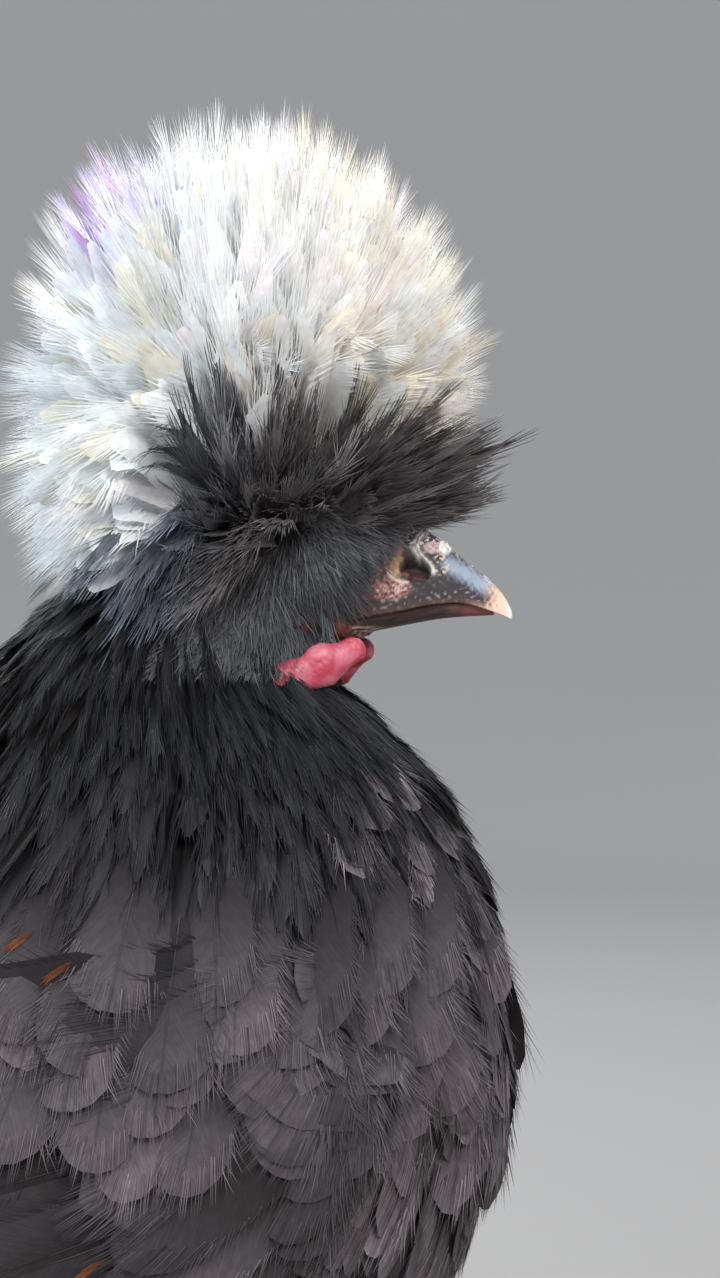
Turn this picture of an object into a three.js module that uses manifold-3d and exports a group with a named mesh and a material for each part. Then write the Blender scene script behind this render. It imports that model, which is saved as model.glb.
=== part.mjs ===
// A white-crested black Polish hen, life size, standing with the head up and turned a little to its right.
// Millimetres. +X is forward, +Z is up, the bird's right side faces -Y, and the toes rest on z = 0.
import * as THREE from "three";
import { mergeVertices } from "three/addons/utils/BufferGeometryUtils.js";
import Module from "manifold-3d";

const wasm = await Module();
wasm.setup();

// Driving dimensions
const GAP = 0.3; // kept between pieces that touch
const HEAD_PLACE = { x: 8, z: 322 }; // middle of the skull, above the toes' level
const HEAD_YAW = -8; // degrees, towards the bird's right
const SKULL_LENGTH = 54;
const SKULL_HEIGHT = 36;
const SKULL_WIDTH = 30;
const EYE = { x: 7, y: 9.6, z: 1, r: 6.2 };
const NOSTRIL = { x: 27, y: 6.4, z: -2.4, r: 2.8, rim: 4.3 };
const WATTLE = { length: 25, folds: 3, thick: 4.2 };
const EARLOBE = { x: -3.5, y: 10.6, z: -11, long: 3.6, thick: 2.6, high: 4.4 };
// The ball of the white feathers' tips, from the middle of the skull: its rows' first fall and step, and
// its turns' step
const CREST = { x: -10.5, z: 46, reach: 57.5, side: 54.5, first: 8, row: 18, around: 20 };
const WHITE_CORE = { x: -9, z: 38, length: 27, width: 26, height: 28 };
const BLACK_BASE = { x: -6, z: 14, length: 26, width: 22, height: 20 }; // the dark feathers' core
const CREST_FEATHER = { wide: 10.5, thick: 1.3, lag: 0.48, roll: 17 };
const TAIL = { base: [-160, 230], length: 116, wide: 24, pairs: 7, top: 57, step: 6, tilt: 25, stack: 1.55 };
const TAIL_COVERT = { length: 60, wide: 20, pairs: 3, top: 52, step: 13 };
const LEG = { side: 36, hockX: -72, hockZ: 92, footX: -53, shank: 5.4, thigh: 30 };
const TOES = [
  { name: "middle", length: 52, turn: 4, r: 4.6 },
  { name: "inner", length: 38, turn: 36, r: 4.2 },
  { name: "outer", length: 41, turn: -34, r: 4.2 },
  { name: "back", length: 19, turn: 172, r: 3.8 },
];
const CLAW = { length: 12, r: 2.5 };

// The body's outline with its plumage, from rump to throat: where each section meets the front or belly
// line and the back line, as [x, z], and its half width.
const BODY = [
  { front: [-176, 186], back: [-178, 212], half: 12 },
  { front: [-163, 152], back: [-170, 229], half: 34 },
  { front: [-136, 128], back: [-151, 236], half: 53 },
  { front: [-100, 113], back: [-122, 243], half: 65 },
  { front: [-60, 107], back: [-98, 250], half: 70 },
  { front: [-20, 115], back: [-82, 257], half: 69 },
  { front: [15, 136], back: [-74, 264], half: 65 },
  { front: [40, 165], back: [-69, 271], half: 59 },
  { front: [54, 197], back: [-66, 278], half: 52 },
  { front: [55, 228], back: [-63, 285], half: 44 },
  { front: [50, 251], back: [-60, 292], half: 38 },
  { front: [40, 272], back: [-56, 300], half: 31 },
  { front: [25, 289], back: [-49, 309], half: 24 },
  { front: [13, 300], back: [-39, 318], half: 19 },
  { front: [4, 308], back: [-26, 325], half: 14 },
];
const NECK_ROW = 9.4; // the section where the neck is parted from the trunk

// The folded wing in side view: its top and bottom edges from shoulder to tip, as [x, z].
const WING_TOP = [[24, 229], [2, 243], [-50, 246], [-108, 234], [-158, 216], [-196, 199]];
const WING_BOTTOM = [[24, 222], [12, 186], [-38, 158], [-98, 156], [-152, 171], [-196, 192]];
const WING_DEPTH = 8; // how far the pad under the feathers stands out from the trunk
const PAD_END = 0.84; // share of the wing's length that the pad fills
// The wing's feathers, tier by tier: where along the wing they root and end, at its top and at its bottom
// edge.
const WING_TIERS = [
  { count: 4, root: [0.6, 0.56], tip: [1.0, 0.93], from: 0.45, to: 0.95, wide: 12, lift: [-2.5, 0.4] },
  { count: 7, root: [0.4, 0.34], tip: [0.9, 0.77], from: 0.04, to: 0.97, wide: 18, lift: [-3.5, 3.2] },
  { count: 7, root: [0.24, 0.2], tip: [0.54, 0.48], from: 0.05, to: 0.97, wide: 17, lift: [-3.5, 3.2] },
  { count: 6, root: [0.12, 0.1], tip: [0.36, 0.31], from: 0.07, to: 0.95, wide: 17, lift: [-3.5, 3.2] },
];

const rad = THREE.MathUtils.degToRad;
const lerp = THREE.MathUtils.lerp;
const smooth = THREE.MathUtils.smoothstep;
const vec = (x, y, z) => new THREE.Vector3(x, y, z);

// A repeatable stream of draws from 0 to 1.
function seeded(seed) {
  let state = seed;
  return () => {
    state = (state * 1664525 + 1013904223) % 4294967296;
    return state / 4294967296;
  };
}

// Solids

function solidOf(positions, triangles) {
  const g = new THREE.BufferGeometry();
  g.setAttribute("position", new THREE.Float32BufferAttribute(positions.flatMap((p) => [p.x, p.y, p.z]), 3));
  g.setIndex(triangles.flat());
  const merged = mergeVertices(g, 1e-4);
  const made = new wasm.Manifold(
    new wasm.Mesh({
      numProp: 3,
      vertProperties: new Float32Array(merged.attributes.position.array),
      triVerts: new Uint32Array(merged.index.array),
    }),
  );
  return made.volume() < 0 ? solidOf(positions, triangles.map(([a, b, c]) => [a, c, b])) : made;
}

function largest(solid) {
  return solid.decompose().reduce((best, s) => (s.volume() > best.volume() ? s : best));
}

// A smooth curve through rows of numbers, at position r counted in rows.
function alongRows(rows, r) {
  const at = THREE.MathUtils.clamp(r, 0, rows.length - 1);
  const i = Math.min(Math.floor(at), rows.length - 2);
  const t = at - i;
  const pick = (k) => rows[THREE.MathUtils.clamp(k, 0, rows.length - 1)];
  const [a, b, c, d] = [pick(i - 1), pick(i), pick(i + 1), pick(i + 2)];
  return b.map((_, k) => {
    const curve = 2 * a[k] - 5 * b[k] + 4 * c[k] - d[k];
    const bend = 3 * b[k] - a[k] - 3 * c[k] + d[k];
    return 0.5 * (2 * b[k] + (c[k] - a[k]) * t + curve * t * t + bend * t * t * t);
  });
}

// A closed tube of rings, with a point at each end. ring(i) gives the points of ring i.
function tube(count, ring, start, end) {
  const points = [start];
  const faces = [];
  let around = 0;
  for (let i = 0; i < count; i++) {
    const row = ring(i);
    around = row.length;
    points.push(...row);
  }
  const at = (i, k) => 1 + i * around + (k % around);
  points.push(end);
  for (let k = 0; k < around; k++) {
    faces.push([0, at(0, k + 1), at(0, k)]);
    faces.push([points.length - 1, at(count - 1, k), at(count - 1, k + 1)]);
    for (let i = 0; i < count - 1; i++) {
      faces.push([at(i, k), at(i, k + 1), at(i + 1, k + 1)]);
      faces.push([at(i, k), at(i + 1, k + 1), at(i + 1, k)]);
    }
  }
  return solidOf(points, faces);
}

// A limb: rows of [x, y, z, radius along x, radius along y], joined by level rings.
function limb(rows, count, around, grow = 0, shape = () => 1) {
  const ring = (i) => {
    const r = (i / (count - 1)) * (rows.length - 1);
    const [x, y, z, rx, ry] = alongRows(rows, r);
    return Array.from({ length: around }, (_, k) => {
      const a = (k / around) * 2 * Math.PI;
      const raised = shape(i / (count - 1), a);
      return vec(x + (rx * raised + grow) * Math.cos(a), y + (ry * raised + grow) * Math.sin(a), z);
    });
  };
  const first = rows[0];
  const last = rows.at(-1);
  const lift = Math.sign(first[2] - last[2]) * (grow + 0.01);
  return tube(count, ring, vec(first[0], first[1], first[2] + lift), vec(last[0], last[1], last[2] - lift));
}

// A pointed or blunt form along a path: rows of [x, y, z, height, width] half sizes, with rings square to
// the path.
function pathForm(rows, count, around, grow = 0, level = vec(0, 0, 1)) {
  const place = (t) => alongRows(rows, t * (rows.length - 1));
  const middle = (t) => vec(...place(t).slice(0, 3));
  const ahead = (t) => middle(Math.min(t + 0.01, 1)).sub(middle(Math.max(t - 0.01, 0))).normalize();
  const ring = (i) => {
    const t = i / (count - 1);
    const [, , , high, wide] = place(t);
    const along = ahead(t);
    const side = level.clone().cross(along).normalize();
    const up = along.clone().cross(side);
    return Array.from({ length: around }, (_, k) => {
      const a = (k / around) * 2 * Math.PI;
      return middle(t)
        .addScaledVector(side, (wide + grow) * Math.cos(a))
        .addScaledVector(up, (high + grow) * Math.sin(a));
    });
  };
  const end = (t, way) => middle(t).addScaledVector(ahead(t), way * (grow + 0.3 * place(t)[3]));
  return tube(count, ring, end(0, -1), end(1, 1));
}

function solidOfMesh(m) {
  const triVerts = new Uint32Array(m.index.array);
  const vertProperties = m.attributes.position.array;
  return new wasm.Manifold(new wasm.Mesh({ numProp: 3, vertProperties, triVerts }));
}

function ellipsoid(x, y, z, rx, ry, rz, across = 20) {
  const g = new THREE.SphereGeometry(1, across, Math.round(across / 2));
  g.rotateX(Math.PI / 2).scale(rx, ry, rz).translate(x, y, z);
  g.deleteAttribute("normal");
  g.deleteAttribute("uv");
  const m = mergeVertices(g, 1e-4);
  return solidOfMesh(m);
}

// A thick sheet over two directions, closed round its rim. face(u, v) gives {outer, inner} for u and v
// from 0 to 1.
function sheet(nu, nv, face) {
  const points = [];
  const faces = [];
  for (let i = 0; i <= nu; i++) {
    for (let j = 0; j <= nv; j++) {
      const { outer, inner } = face(i / nu, j / nv);
      points.push(outer, inner);
    }
  }
  const at = (i, j, side) => 2 * (i * (nv + 1) + j) + side;
  for (let i = 0; i < nu; i++) {
    for (let j = 0; j < nv; j++) {
      const [a, b, c, d] = [[i, j], [i + 1, j], [i + 1, j + 1], [i, j + 1]];
      faces.push([at(...a, 0), at(...b, 0), at(...c, 0)], [at(...a, 0), at(...c, 0), at(...d, 0)]);
      faces.push([at(...a, 1), at(...c, 1), at(...b, 1)], [at(...a, 1), at(...d, 1), at(...c, 1)]);
    }
  }
  const rim = [
    ...Array.from({ length: nu }, (_, i) => [[i, 0], [i + 1, 0]]),
    ...Array.from({ length: nv }, (_, j) => [[nu, j], [nu, j + 1]]),
    ...Array.from({ length: nu }, (_, i) => [[nu - i, nv], [nu - i - 1, nv]]),
    ...Array.from({ length: nv }, (_, j) => [[0, nv - j], [0, nv - j - 1]]),
  ];
  for (const [a, b] of rim) {
    faces.push([at(...a, 0), at(...a, 1), at(...b, 1)], [at(...a, 0), at(...b, 1), at(...b, 0)]);
  }
  return solidOf(points, faces);
}

// A feather's vane along its shaft: a blade with three corners to a section, its two edges and the ridge
// of the shaft, narrow at the root and rounded at the tip. shaft(t) gives its middle, sideways points to
// its right edge, and roll turns it about the shaft.
// Its sections: place along the shaft, share of the width, share of the thickness
const VANE_SECTIONS = [[0, 0.5, 1], [0.48, 0.94, 1], [0.84, 0.84, 0.7]];
function vane(shaft, sideways, wide, thick, roll = 0, grow = 0) {
  const points = [];
  for (const [t, w, h] of VANE_SECTIONS) {
    const along = shaft(t + 0.02).sub(shaft(Math.max(0, t - 0.02))).normalize();
    const level = sideways.clone().addScaledVector(along, -sideways.dot(along)).normalize();
    const right = level.clone().applyAxisAngle(along, roll);
    const up = right.clone().cross(along);
    const corner = (a, b) => shaft(t).addScaledVector(right, a).addScaledVector(up, b);
    const half = (wide * w) / 2 + 3 * grow;
    points.push(corner(-half, -grow), corner(0, thick * h + grow), corner(half, -grow));
  }
  points.push(shaft(1 + 0.02 * grow));
  const last = VANE_SECTIONS.length - 1;
  const faces = [[0, 2, 1]];
  for (let i = 0; i < last; i++) {
    const [l, t, r] = [3 * i, 3 * i + 1, 3 * i + 2];
    faces.push([l, t, t + 3], [l, t + 3, l + 3], [t, r, t + 3]);
    faces.push([r, r + 3, t + 3], [r, l, l + 3], [r, l + 3, r + 3]);
  }
  const [l, t, r, tip] = [3 * last, 3 * last + 1, 3 * last + 2, points.length - 1];
  faces.push([l, t, tip], [t, r, tip], [r, l, tip]);
  return solidOf(points, faces);
}

const joined = (solids) => wasm.Manifold.union(solids);

// Half space below or behind a plane through a point, as a large box.
function halfSpace(point, normal) {
  const size = 800;
  const box = new THREE.BoxGeometry(size, size, size).translate(0, 0, -size / 2);
  box.applyQuaternion(new THREE.Quaternion().setFromUnitVectors(vec(0, 0, 1), normal.clone().normalize()));
  box.translate(point.x, point.y, point.z);
  box.deleteAttribute("normal");
  box.deleteAttribute("uv");
  const m = mergeVertices(box, 1e-4);
  return solidOfMesh(m);
}

// Trunk and neck

const BODY_ROWS = BODY.map((r) => [...r.front, ...r.back, r.half]);
const BODY_LAST = BODY.length - 1;
const BODY_POWER = 2.15;

// A point of the plumage's surface. Angle 0 is the belly and front line, half a turn is the back line.
function bodyPoint(r, angle, grow = 0) {
  const [fx, fz, bx, bz, half] = alongRows(BODY_ROWS, r);
  const reach = Math.hypot(fx - bx, fz - bz) / 2;
  const power = (v) => Math.sign(v) * Math.abs(v) ** (2 / BODY_POWER);
  const [c, s] = [power(Math.cos(angle)), power(Math.sin(angle))];
  const k = (c * (reach + grow)) / reach;
  return vec((fx + bx) / 2 + ((fx - bx) / 2) * k, s * (half + grow), (fz + bz) / 2 + ((fz - bz) / 2) * k);
}

function wholeBody(grow = 0) {
  const count = 25;
  const around = 18;
  const ring = (i) => {
    const r = (i / (count - 1)) * BODY_LAST;
    return Array.from({ length: around }, (_, k) => bodyPoint(r, (k / around) * 2 * Math.PI, grow));
  };
  const middle = (r) => bodyPoint(r, 0).add(bodyPoint(r, Math.PI)).multiplyScalar(0.5);
  const start = middle(0).add(vec(-3 - grow, 0, -1));
  const end = middle(BODY_LAST).add(vec(1 + grow, 0, 3 + grow));
  return tube(count, ring, start, end);
}

// How far out the trunk's side is at a place in side view.
function sideY(x, z) {
  const off = (r) => {
    const [fx, fz, bx, bz] = alongRows(BODY_ROWS, r);
    return (bx - fx) * (z - fz) - (bz - fz) * (x - fx);
  };
  const step = 0.05;
  for (let r = 0; r < BODY_LAST; r += step) {
    const [near, far] = [off(r), off(r + step)];
    if (near * far > 0) continue;
    const at = r + (step * near) / (near - far || 1);
    const [fx, fz, bx, bz, half] = alongRows(BODY_ROWS, at);
    const share = ((x - fx) * (bx - fx) + (z - fz) * (bz - fz)) / ((bx - fx) ** 2 + (bz - fz) ** 2);
    const u = Math.abs(2 * share - 1);
    if (u < 1) return half * (1 - u ** BODY_POWER) ** (1 / BODY_POWER);
  }
  return 0;
}

function neckPlane(shift) {
  const [fx, fz, bx, bz] = alongRows(BODY_ROWS, NECK_ROW);
  const normal = vec(bz - fz, 0, fx - bx).multiplyScalar(1 / Math.hypot(fx - bx, fz - bz));
  return halfSpace(vec(fx, 0, fz).addScaledVector(normal, shift), normal);
}

// Head, in its own frame: origin at the middle of the skull, facing +X

const SKULL = [
  [-23, 0, 3, 7, 6],
  [-18, 0, 3, 12.5, 10.5],
  [-10, 0, 3, 16.5, 14],
  [0, 0, 2.5, 18, 15],
  [8, 0, 1.2, 16.6, 13.6],
  [14, 0, -1.4, 13.8, 11.2],
  [18.5, 0, -3.4, 11, 9],
  [21.5, 0, -4.6, 8.8, 7.2],
].map(([x, y, z, high, wide]) => [
  (x * SKULL_LENGTH) / 54,
  y,
  z,
  (high * SKULL_HEIGHT) / 36,
  (wide * SKULL_WIDTH) / 30,
]);

function skull(grow = 0) {
  const knob = ellipsoid(-5, 0, 15, 14 + grow, 12.5 + grow, 12 + grow, 12);
  const throat = ellipsoid(5, 0, -12, 15 + grow, 8.5 + grow, 6.5 + grow, 10);
  return pathForm(SKULL, 10, 13, grow).add(knob).add(throat);
}

function eyeBall(side, grow = 0) {
  const r = EYE.r + grow;
  return ellipsoid(EYE.x, side * EYE.y, EYE.z, r, r, r, 12);
}

// The lids: a bulge round the eyeball with an almond-shaped opening.
function lidBulge(side, grow = 0) {
  const r = EYE.r + grow;
  return ellipsoid(EYE.x, side * (EYE.y + 0.2), EYE.z, r + 1.9, r + 0.8, r + 1.5, 14);
}

function lids(side) {
  const opening = ellipsoid(EYE.x, side * (EYE.y + EYE.r), EYE.z - 0.3, EYE.r - 0.6, 4.4, EYE.r - 2.3, 10);
  return lidBulge(side).subtract(opening);
}

// The line of the mouth where it runs back over the cheek.
const mouthLine = (side) => ellipsoid(18, side * 8.6, -11.6, 8, 3.4, 0.6, 10);

// The upper mandible: a hooked form whose ridge runs from the nostrils' knob to the tip.
const UPPER = [
  [19, 0, -4.5, 9.5, 7.8],
  [24, 0, -3.6, 10, 7.6],
  [28.5, 0, -3.3, 10.3, 7],
  [32, 0, -4.2, 8.8, 6.2],
  [36, 0, -5.6, 7.1, 5.2],
  [40, 0, -7.4, 5.9, 4.2],
  [44, 0, -9.2, 4.2, 3],
  [46.6, 0, -10.8, 2.2, 1.9],
  [48.4, 0, -12.2, 0.9, 0.9],
];
const LOWER = [
  [14, 0, -13.6, 3.2, 7],
  [20, 0, -13, 2.8, 6.4],
  [26, 0, -12.2, 2.1, 5.3],
  [33, 0, -11.6, 1.5, 4],
  [39, 0, -11.3, 1, 2.8],
  [43, 0, -10.9, 0.7, 1.6],
];

function upperBeak(grow = 0) {
  const mouth = ellipsoid(38, 0, -22 - grow, 24, 30, 12, 20);
  return pathForm(UPPER, 10, 10, grow).subtract(mouth);
}

function nostril(side) {
  return ellipsoid(NOSTRIL.x, side * (NOSTRIL.y + 0.6), NOSTRIL.z, NOSTRIL.r, 3, NOSTRIL.r + 0.4, 8);
}

// The raised crescent that frames the nostril in front and above.
function nostrilRim(side) {
  const rows = [-75, -35, 0, 35, 70, 105, 135].map((turn, i, all) => {
    const a = rad(turn);
    const thick = 0.5 + 0.9 * Math.sin((Math.PI * (i + 0.6)) / (all.length + 0.2));
    const y = side * (NOSTRIL.y - 0.7 - 0.8 * Math.abs(Math.sin(a)));
    return [NOSTRIL.x + NOSTRIL.rim * Math.cos(a), y, NOSTRIL.z + NOSTRIL.rim * Math.sin(a), thick, thick];
  });
  return pathForm(rows, 6, 5, 0, vec(0, 1, 0));
}

function lowerBeak(grow = 0) {
  return pathForm(LOWER, 7, 8, grow);
}

// A wattle: a soft lobe that starts under the corner of the mouth and sweeps back and down in shallow
// folds.
function wattle(side, grow = 0) {
  const count = 9;
  const rows = Array.from({ length: count }, (_, i) => {
    const t = i / (count - 1);
    const fold = 1 + 0.13 * Math.cos(2 * Math.PI * WATTLE.folds * t);
    const full = Math.sin(Math.PI * (0.16 + 0.74 * t)) ** 0.8;
    const x = 19 - WATTLE.length * t;
    const z = -15.6 - 11.5 * t ** 0.8;
    return [x, side * (6.6 + 11 * t ** 1.3), z, 5.8 * full * fold, (WATTLE.thick / 2) * full * fold + 0.3];
  });
  return pathForm(rows, 12, 7, grow);
}

function earLobe(side, grow = 0) {
  const { x, y, z, long, thick, high } = EARLOBE;
  return ellipsoid(x, side * y, z, long + grow, thick + grow, high + grow, 10);
}

// Crest

// One crest feather in an upright plane through a centre: it leaves the core nearer the top than its tip
// lies, and droops outwards. root and tip give {reach, fall}, the distance from the centre and the angle
// from straight up.
function crestFeather(centre, turn, root, tip, wide, sway, droop, grow) {
  const shaft = (t) => {
    const fall = rad(lerp(root.fall, tip.fall, Math.max(t, 0) ** droop));
    const reach = lerp(root.reach, tip.reach, t);
    const a = turn + sway * t;
    const flat = reach * Math.sin(fall);
    const y = (flat * Math.sin(a) * CREST.side) / CREST.reach;
    return vec(centre.x + flat * Math.cos(a), y, centre.z + reach * Math.cos(fall));
  };
  const sideways = vec(-Math.sin(turn), Math.cos(turn), 0);
  return vane(shaft, sideways, wide, CREST_FEATHER.thick, rad(CREST_FEATHER.roll), grow);
}

// How far down the white feathers reach, as an angle from straight up: least at the cheeks, most at the
// nape.
const WHITE_EDGE = { cheek: 99, brow: 105, nape: 137 };

function whiteEdge(turn) {
  const { cheek, brow, nape } = WHITE_EDGE;
  return lerp(cheek, Math.cos(turn) > 0 ? brow : nape, Math.cos(turn) ** 2);
}

function whiteFeathers(grow) {
  const draw = seeded(11);
  const feathers = [];
  for (let fall = CREST.first; fall < 140; fall += CREST.row) {
    const count = Math.max(5, Math.round(CREST.around * Math.sin(rad(fall))));
    const start = draw();
    for (let k = 0; k < count; k++) {
      const turn = (2 * Math.PI * (k + start + 0.25 * (draw() - 0.5))) / count;
      const back = Math.max(0, -Math.cos(turn));
      const reach = CREST.reach * (1 - 0.07 * draw()) + 15 * back * smooth(fall, 95, 140);
      const bend = 3 * (draw() - 0.5);
      const sway = 0.08 * (draw() - 0.5);
      const root = { reach: 15, fall: CREST_FEATHER.lag * fall };
      const wide = CREST_FEATHER.wide * (0.9 + 0.2 * draw());
      if (fall > whiteEdge(turn)) continue;
      feathers.push(crestFeather(CREST, turn, root, { reach, fall: fall + bend }, wide, sway, 1.6, grow));
    }
  }
  return feathers;
}

// The plane that parts the white crest from its dark base, higher over the beak than at the nape.
const crestPlane = (shift) => halfSpace(vec(0, 0, 24 + shift), vec(-0.3, 0, 1));

function whiteCrest(grow = 0) {
  const { x, z, length, width, height } = WHITE_CORE;
  const whole = ellipsoid(x, 0, z, length + grow, width + grow, height + grow, 12);
  const core = whole.subtract(crestPlane(-grow));
  return joined([core, ...whiteFeathers(grow)]);
}

// The dark base: rows of feathers that leave the crown under the white ones and droop over brow, cheeks
// and nape. Each row gives its tips' rise over the cheeks, brow and nape, the reach, and the turns that it
// spans, in degrees.
const BLACK_ROWS = [
  { cheek: 43, brow: 14, nape: 8, reach: 60, from: 0, to: 140, count: 19 },
  { cheek: 23, brow: 8, nape: -16, reach: 57, from: 24, to: 180, count: 18 },
  { cheek: 3, brow: -2, nape: -34, reach: 51, from: 44, to: 180, count: 16 },
  { cheek: -18, brow: -20, nape: -48, reach: 45, from: 56, to: 165, count: 14 },
  { cheek: -42, brow: -42, nape: -60, reach: 40, from: 66, to: 150, count: 12 },
];

function blackFeathers() {
  const draw = seeded(23);
  const feathers = [];
  for (const row of BLACK_ROWS) {
    for (let k = 0; k < row.count; k++) {
      const turn = (2 * Math.PI * (k + 0.5 + 0.2 * (draw() - 0.5))) / row.count;
      const away = Math.abs(THREE.MathUtils.radToDeg(turn > Math.PI ? turn - 2 * Math.PI : turn));
      const end = Math.cos(turn) > 0 ? row.brow : row.nape;
      const rise = lerp(row.cheek, end, Math.cos(turn) ** 2) + 3 * (draw() - 0.5);
      const reach = row.reach * (1 - 0.08 * draw());
      const sway = 0.1 * (draw() - 0.5);
      const root = { reach: 16 + 3 * Math.cos(turn) ** 2, fall: 92 - 0.1 * rise };
      if (away < row.from || away > row.to) continue;
      feathers.push(crestFeather(BLACK_BASE, turn, root, { reach, fall: 90 - rise }, 10.5, sway, 1, 0));
    }
  }
  return feathers;
}

function blackCrest() {
  const { x, z, length, width, height } = BLACK_BASE;
  const face = halfSpace(vec(7, 0, 10), vec(-0.5, 0, 1));
  const core = ellipsoid(x, 0, z, length, width, height, 12).intersect(crestPlane(-GAP)).subtract(face);
  return joined([core, ...blackFeathers()]);
}

// Wing

function wingPlace(s, t) {
  const [tx, tz] = alongRows(WING_TOP, s * (WING_TOP.length - 1));
  const [bx, bz] = alongRows(WING_BOTTOM, s * (WING_BOTTOM.length - 1));
  const x = lerp(tx, bx, t);
  const z = lerp(tz, bz, t);
  const near = sideY(x, z);
  const straight = 30 + 0.3 * (x + 196); // past the trunk the wing runs straight on to its tip
  return { x, z, y: lerp(near, Math.max(near, straight), smooth(s, 0.45, 0.8)) };
}

// The pad's surface, standing out from the trunk by a height of its own plus lift.
function onPad(s, t, side, lift) {
  const { x, y, z } = wingPlace(s, t);
  const round = Math.sin(Math.PI * (0.06 + 0.88 * t)) ** 0.7;
  const bulge = WING_DEPTH * round * (1 - 0.55 * s) * Math.min(1, 0.35 + 4 * s);
  return vec(x, side * (y + bulge + lift), z);
}

function wingFeathers(side) {
  const draw = seeded(5);
  const feathers = [];
  for (const tier of WING_TIERS) {
    for (let k = 0; k < tier.count; k++) {
      const down = (k + 0.5) / tier.count;
      const across = lerp(tier.from, tier.to, down);
      const end = across + 0.03 * (draw() - 0.5);
      const from = lerp(...tier.root, down);
      const to = lerp(...tier.tip, down) + 0.02 * (draw() - 0.5);
      const lift = (u) => lerp(...tier.lift, Math.max(u, 0));
      const shaft = (u) => onPad(lerp(from, to, u), lerp(across, end, u), side, lift(u));
      const along = shaft(1).sub(shaft(0)).normalize();
      const sideways = along.clone().cross(vec(0, side, 0));
      feathers.push(vane(shaft, sideways, tier.wide, 1.2, rad(12)));
    }
  }
  return feathers;
}

function wing(side) {
  const face = (u, v) => ({
    outer: onPad(PAD_END * u, v, side, 0),
    inner: onPad(PAD_END * u, v, side, -6 - 8 * (1 - u)),
  });
  return joined([sheet(6, 4, face), ...wingFeathers(side)]);
}

// Tail: two sides that lean together like a tent, each a stack of broad feathers that fan out in side
// view, with the upper ones outside, and shorter coverts over their roots.

function tailFeather(side, { rise, length, wide, drop, out }) {
  const [bx, bz] = TAIL.base;
  const tilt = rad(TAIL.tilt);
  const lean = rad(rise);
  const splay = rad(2.5);
  const shaft = (t) => {
    const reach = length * t;
    const curl = 5 * t * t;
    const x = bx - drop * 0.4 - reach * Math.cos(lean) - curl * Math.sin(lean);
    const y = 3.4 + drop * Math.sin(tilt) + out * Math.cos(tilt) + reach * Math.sin(splay);
    return vec(x, side * y, bz - drop + reach * Math.sin(lean) + curl * Math.cos(lean));
  };
  const level = Math.cos(tilt);
  const sideways = vec(Math.sin(lean) * level, -side * Math.sin(tilt), Math.cos(lean) * level);
  return vane(shaft, sideways, wide, 1.15);
}

function tail() {
  const feathers = [];
  for (const side of [-1, 1]) {
    for (let i = 0; i < TAIL.pairs; i++) {
      const rise = TAIL.top - TAIL.step * i;
      const length = TAIL.length * (1 - 0.02 * Math.abs(i - 2));
      const out = -TAIL.stack * i;
      feathers.push(tailFeather(side, { rise, length, wide: TAIL.wide, drop: 3.6 * i, out }));
    }
    for (let i = 0; i < TAIL_COVERT.pairs; i++) {
      const { length, wide, top, step } = TAIL_COVERT;
      const out = 2.6 + 1.55 * (TAIL_COVERT.pairs - i);
      feathers.push(tailFeather(side, { rise: top - step * i, length, wide, drop: 8 * i, out }));
    }
  }
  const [bx, bz] = TAIL.base;
  return joined([ellipsoid(bx - 4, 0, bz - 8, 17, 15, 22, 16), ...feathers]);
}

// Legs

function thighRows(side) {
  const y = side * LEG.side;
  return [
    [-46, y, 172, LEG.thigh + 4, 27],
    [-48, y, 148, LEG.thigh + 2, 26],
    [-55, y, 124, 25, 21],
    [LEG.hockX + 5, y, 106, 14, 12],
    [LEG.hockX, y, LEG.hockZ + 1, 8, 7.6],
  ];
}
const thigh = (side, grow = 0) => limb(thighRows(side), 8, 12, grow);

function shank(side, grow = 0) {
  const y = side * LEG.side;
  const rows = [
    [LEG.hockX, y, LEG.hockZ + 6, LEG.shank, LEG.shank],
    [LEG.hockX + 1, y, LEG.hockZ - 6, LEG.shank + 1.2, LEG.shank + 0.8],
    [LEG.hockX + 6, y, 60, LEG.shank, LEG.shank - 0.6],
    [LEG.footX - 5, y, 30, LEG.shank, LEG.shank - 0.4],
    [LEG.footX, y, 12, LEG.shank + 1.6, LEG.shank + 1.8],
    [LEG.footX + 1, y, -1, LEG.shank + 1.4, LEG.shank + 1.6],
  ];
  const scutes = 11;
  const plate = (t, a) => 1 + 0.07 * Math.max(0, Math.cos(a)) * (1 - ((t * scutes) % 1));
  return limb(rows, 2 * scutes + 1, 7, grow, plate);
}

function toePlace(toe, side, along) {
  const turn = rad(side > 0 ? -toe.turn : toe.turn);
  const start = vec(LEG.footX, side * LEG.side, 0);
  return start.add(vec(Math.cos(turn), Math.sin(turn), 0).multiplyScalar(along));
}

function toeSolid(toe, side, grow = 0) {
  const count = 5;
  const rows = Array.from({ length: count }, (_, i) => {
    const t = i / (count - 1);
    const p = toePlace(toe, side, lerp(5, toe.length, t));
    const r = toe.r * (1 - 0.3 * t) * (1 + 0.08 * Math.cos(4 * Math.PI * t));
    return [p.x, p.y, r * 0.86, r, r * 1.06];
  });
  return pathForm(rows, 5, 7, grow);
}

function clawSolid(toe, side) {
  const rows = [0, 0.35, 0.7, 1].map((t) => {
    const p = toePlace(toe, side, toe.length - 1 + (CLAW.length + 2) * t);
    const r = CLAW.r * (1 - 0.84 * t);
    return [p.x, p.y, 3.2 - 2.5 * t * t, r, r * 0.8];
  });
  return pathForm(rows, 4, 5);
}

// Scene graph: every solid is cut clear of its neighbours in the hen's frame, then placed in its group.

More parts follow.
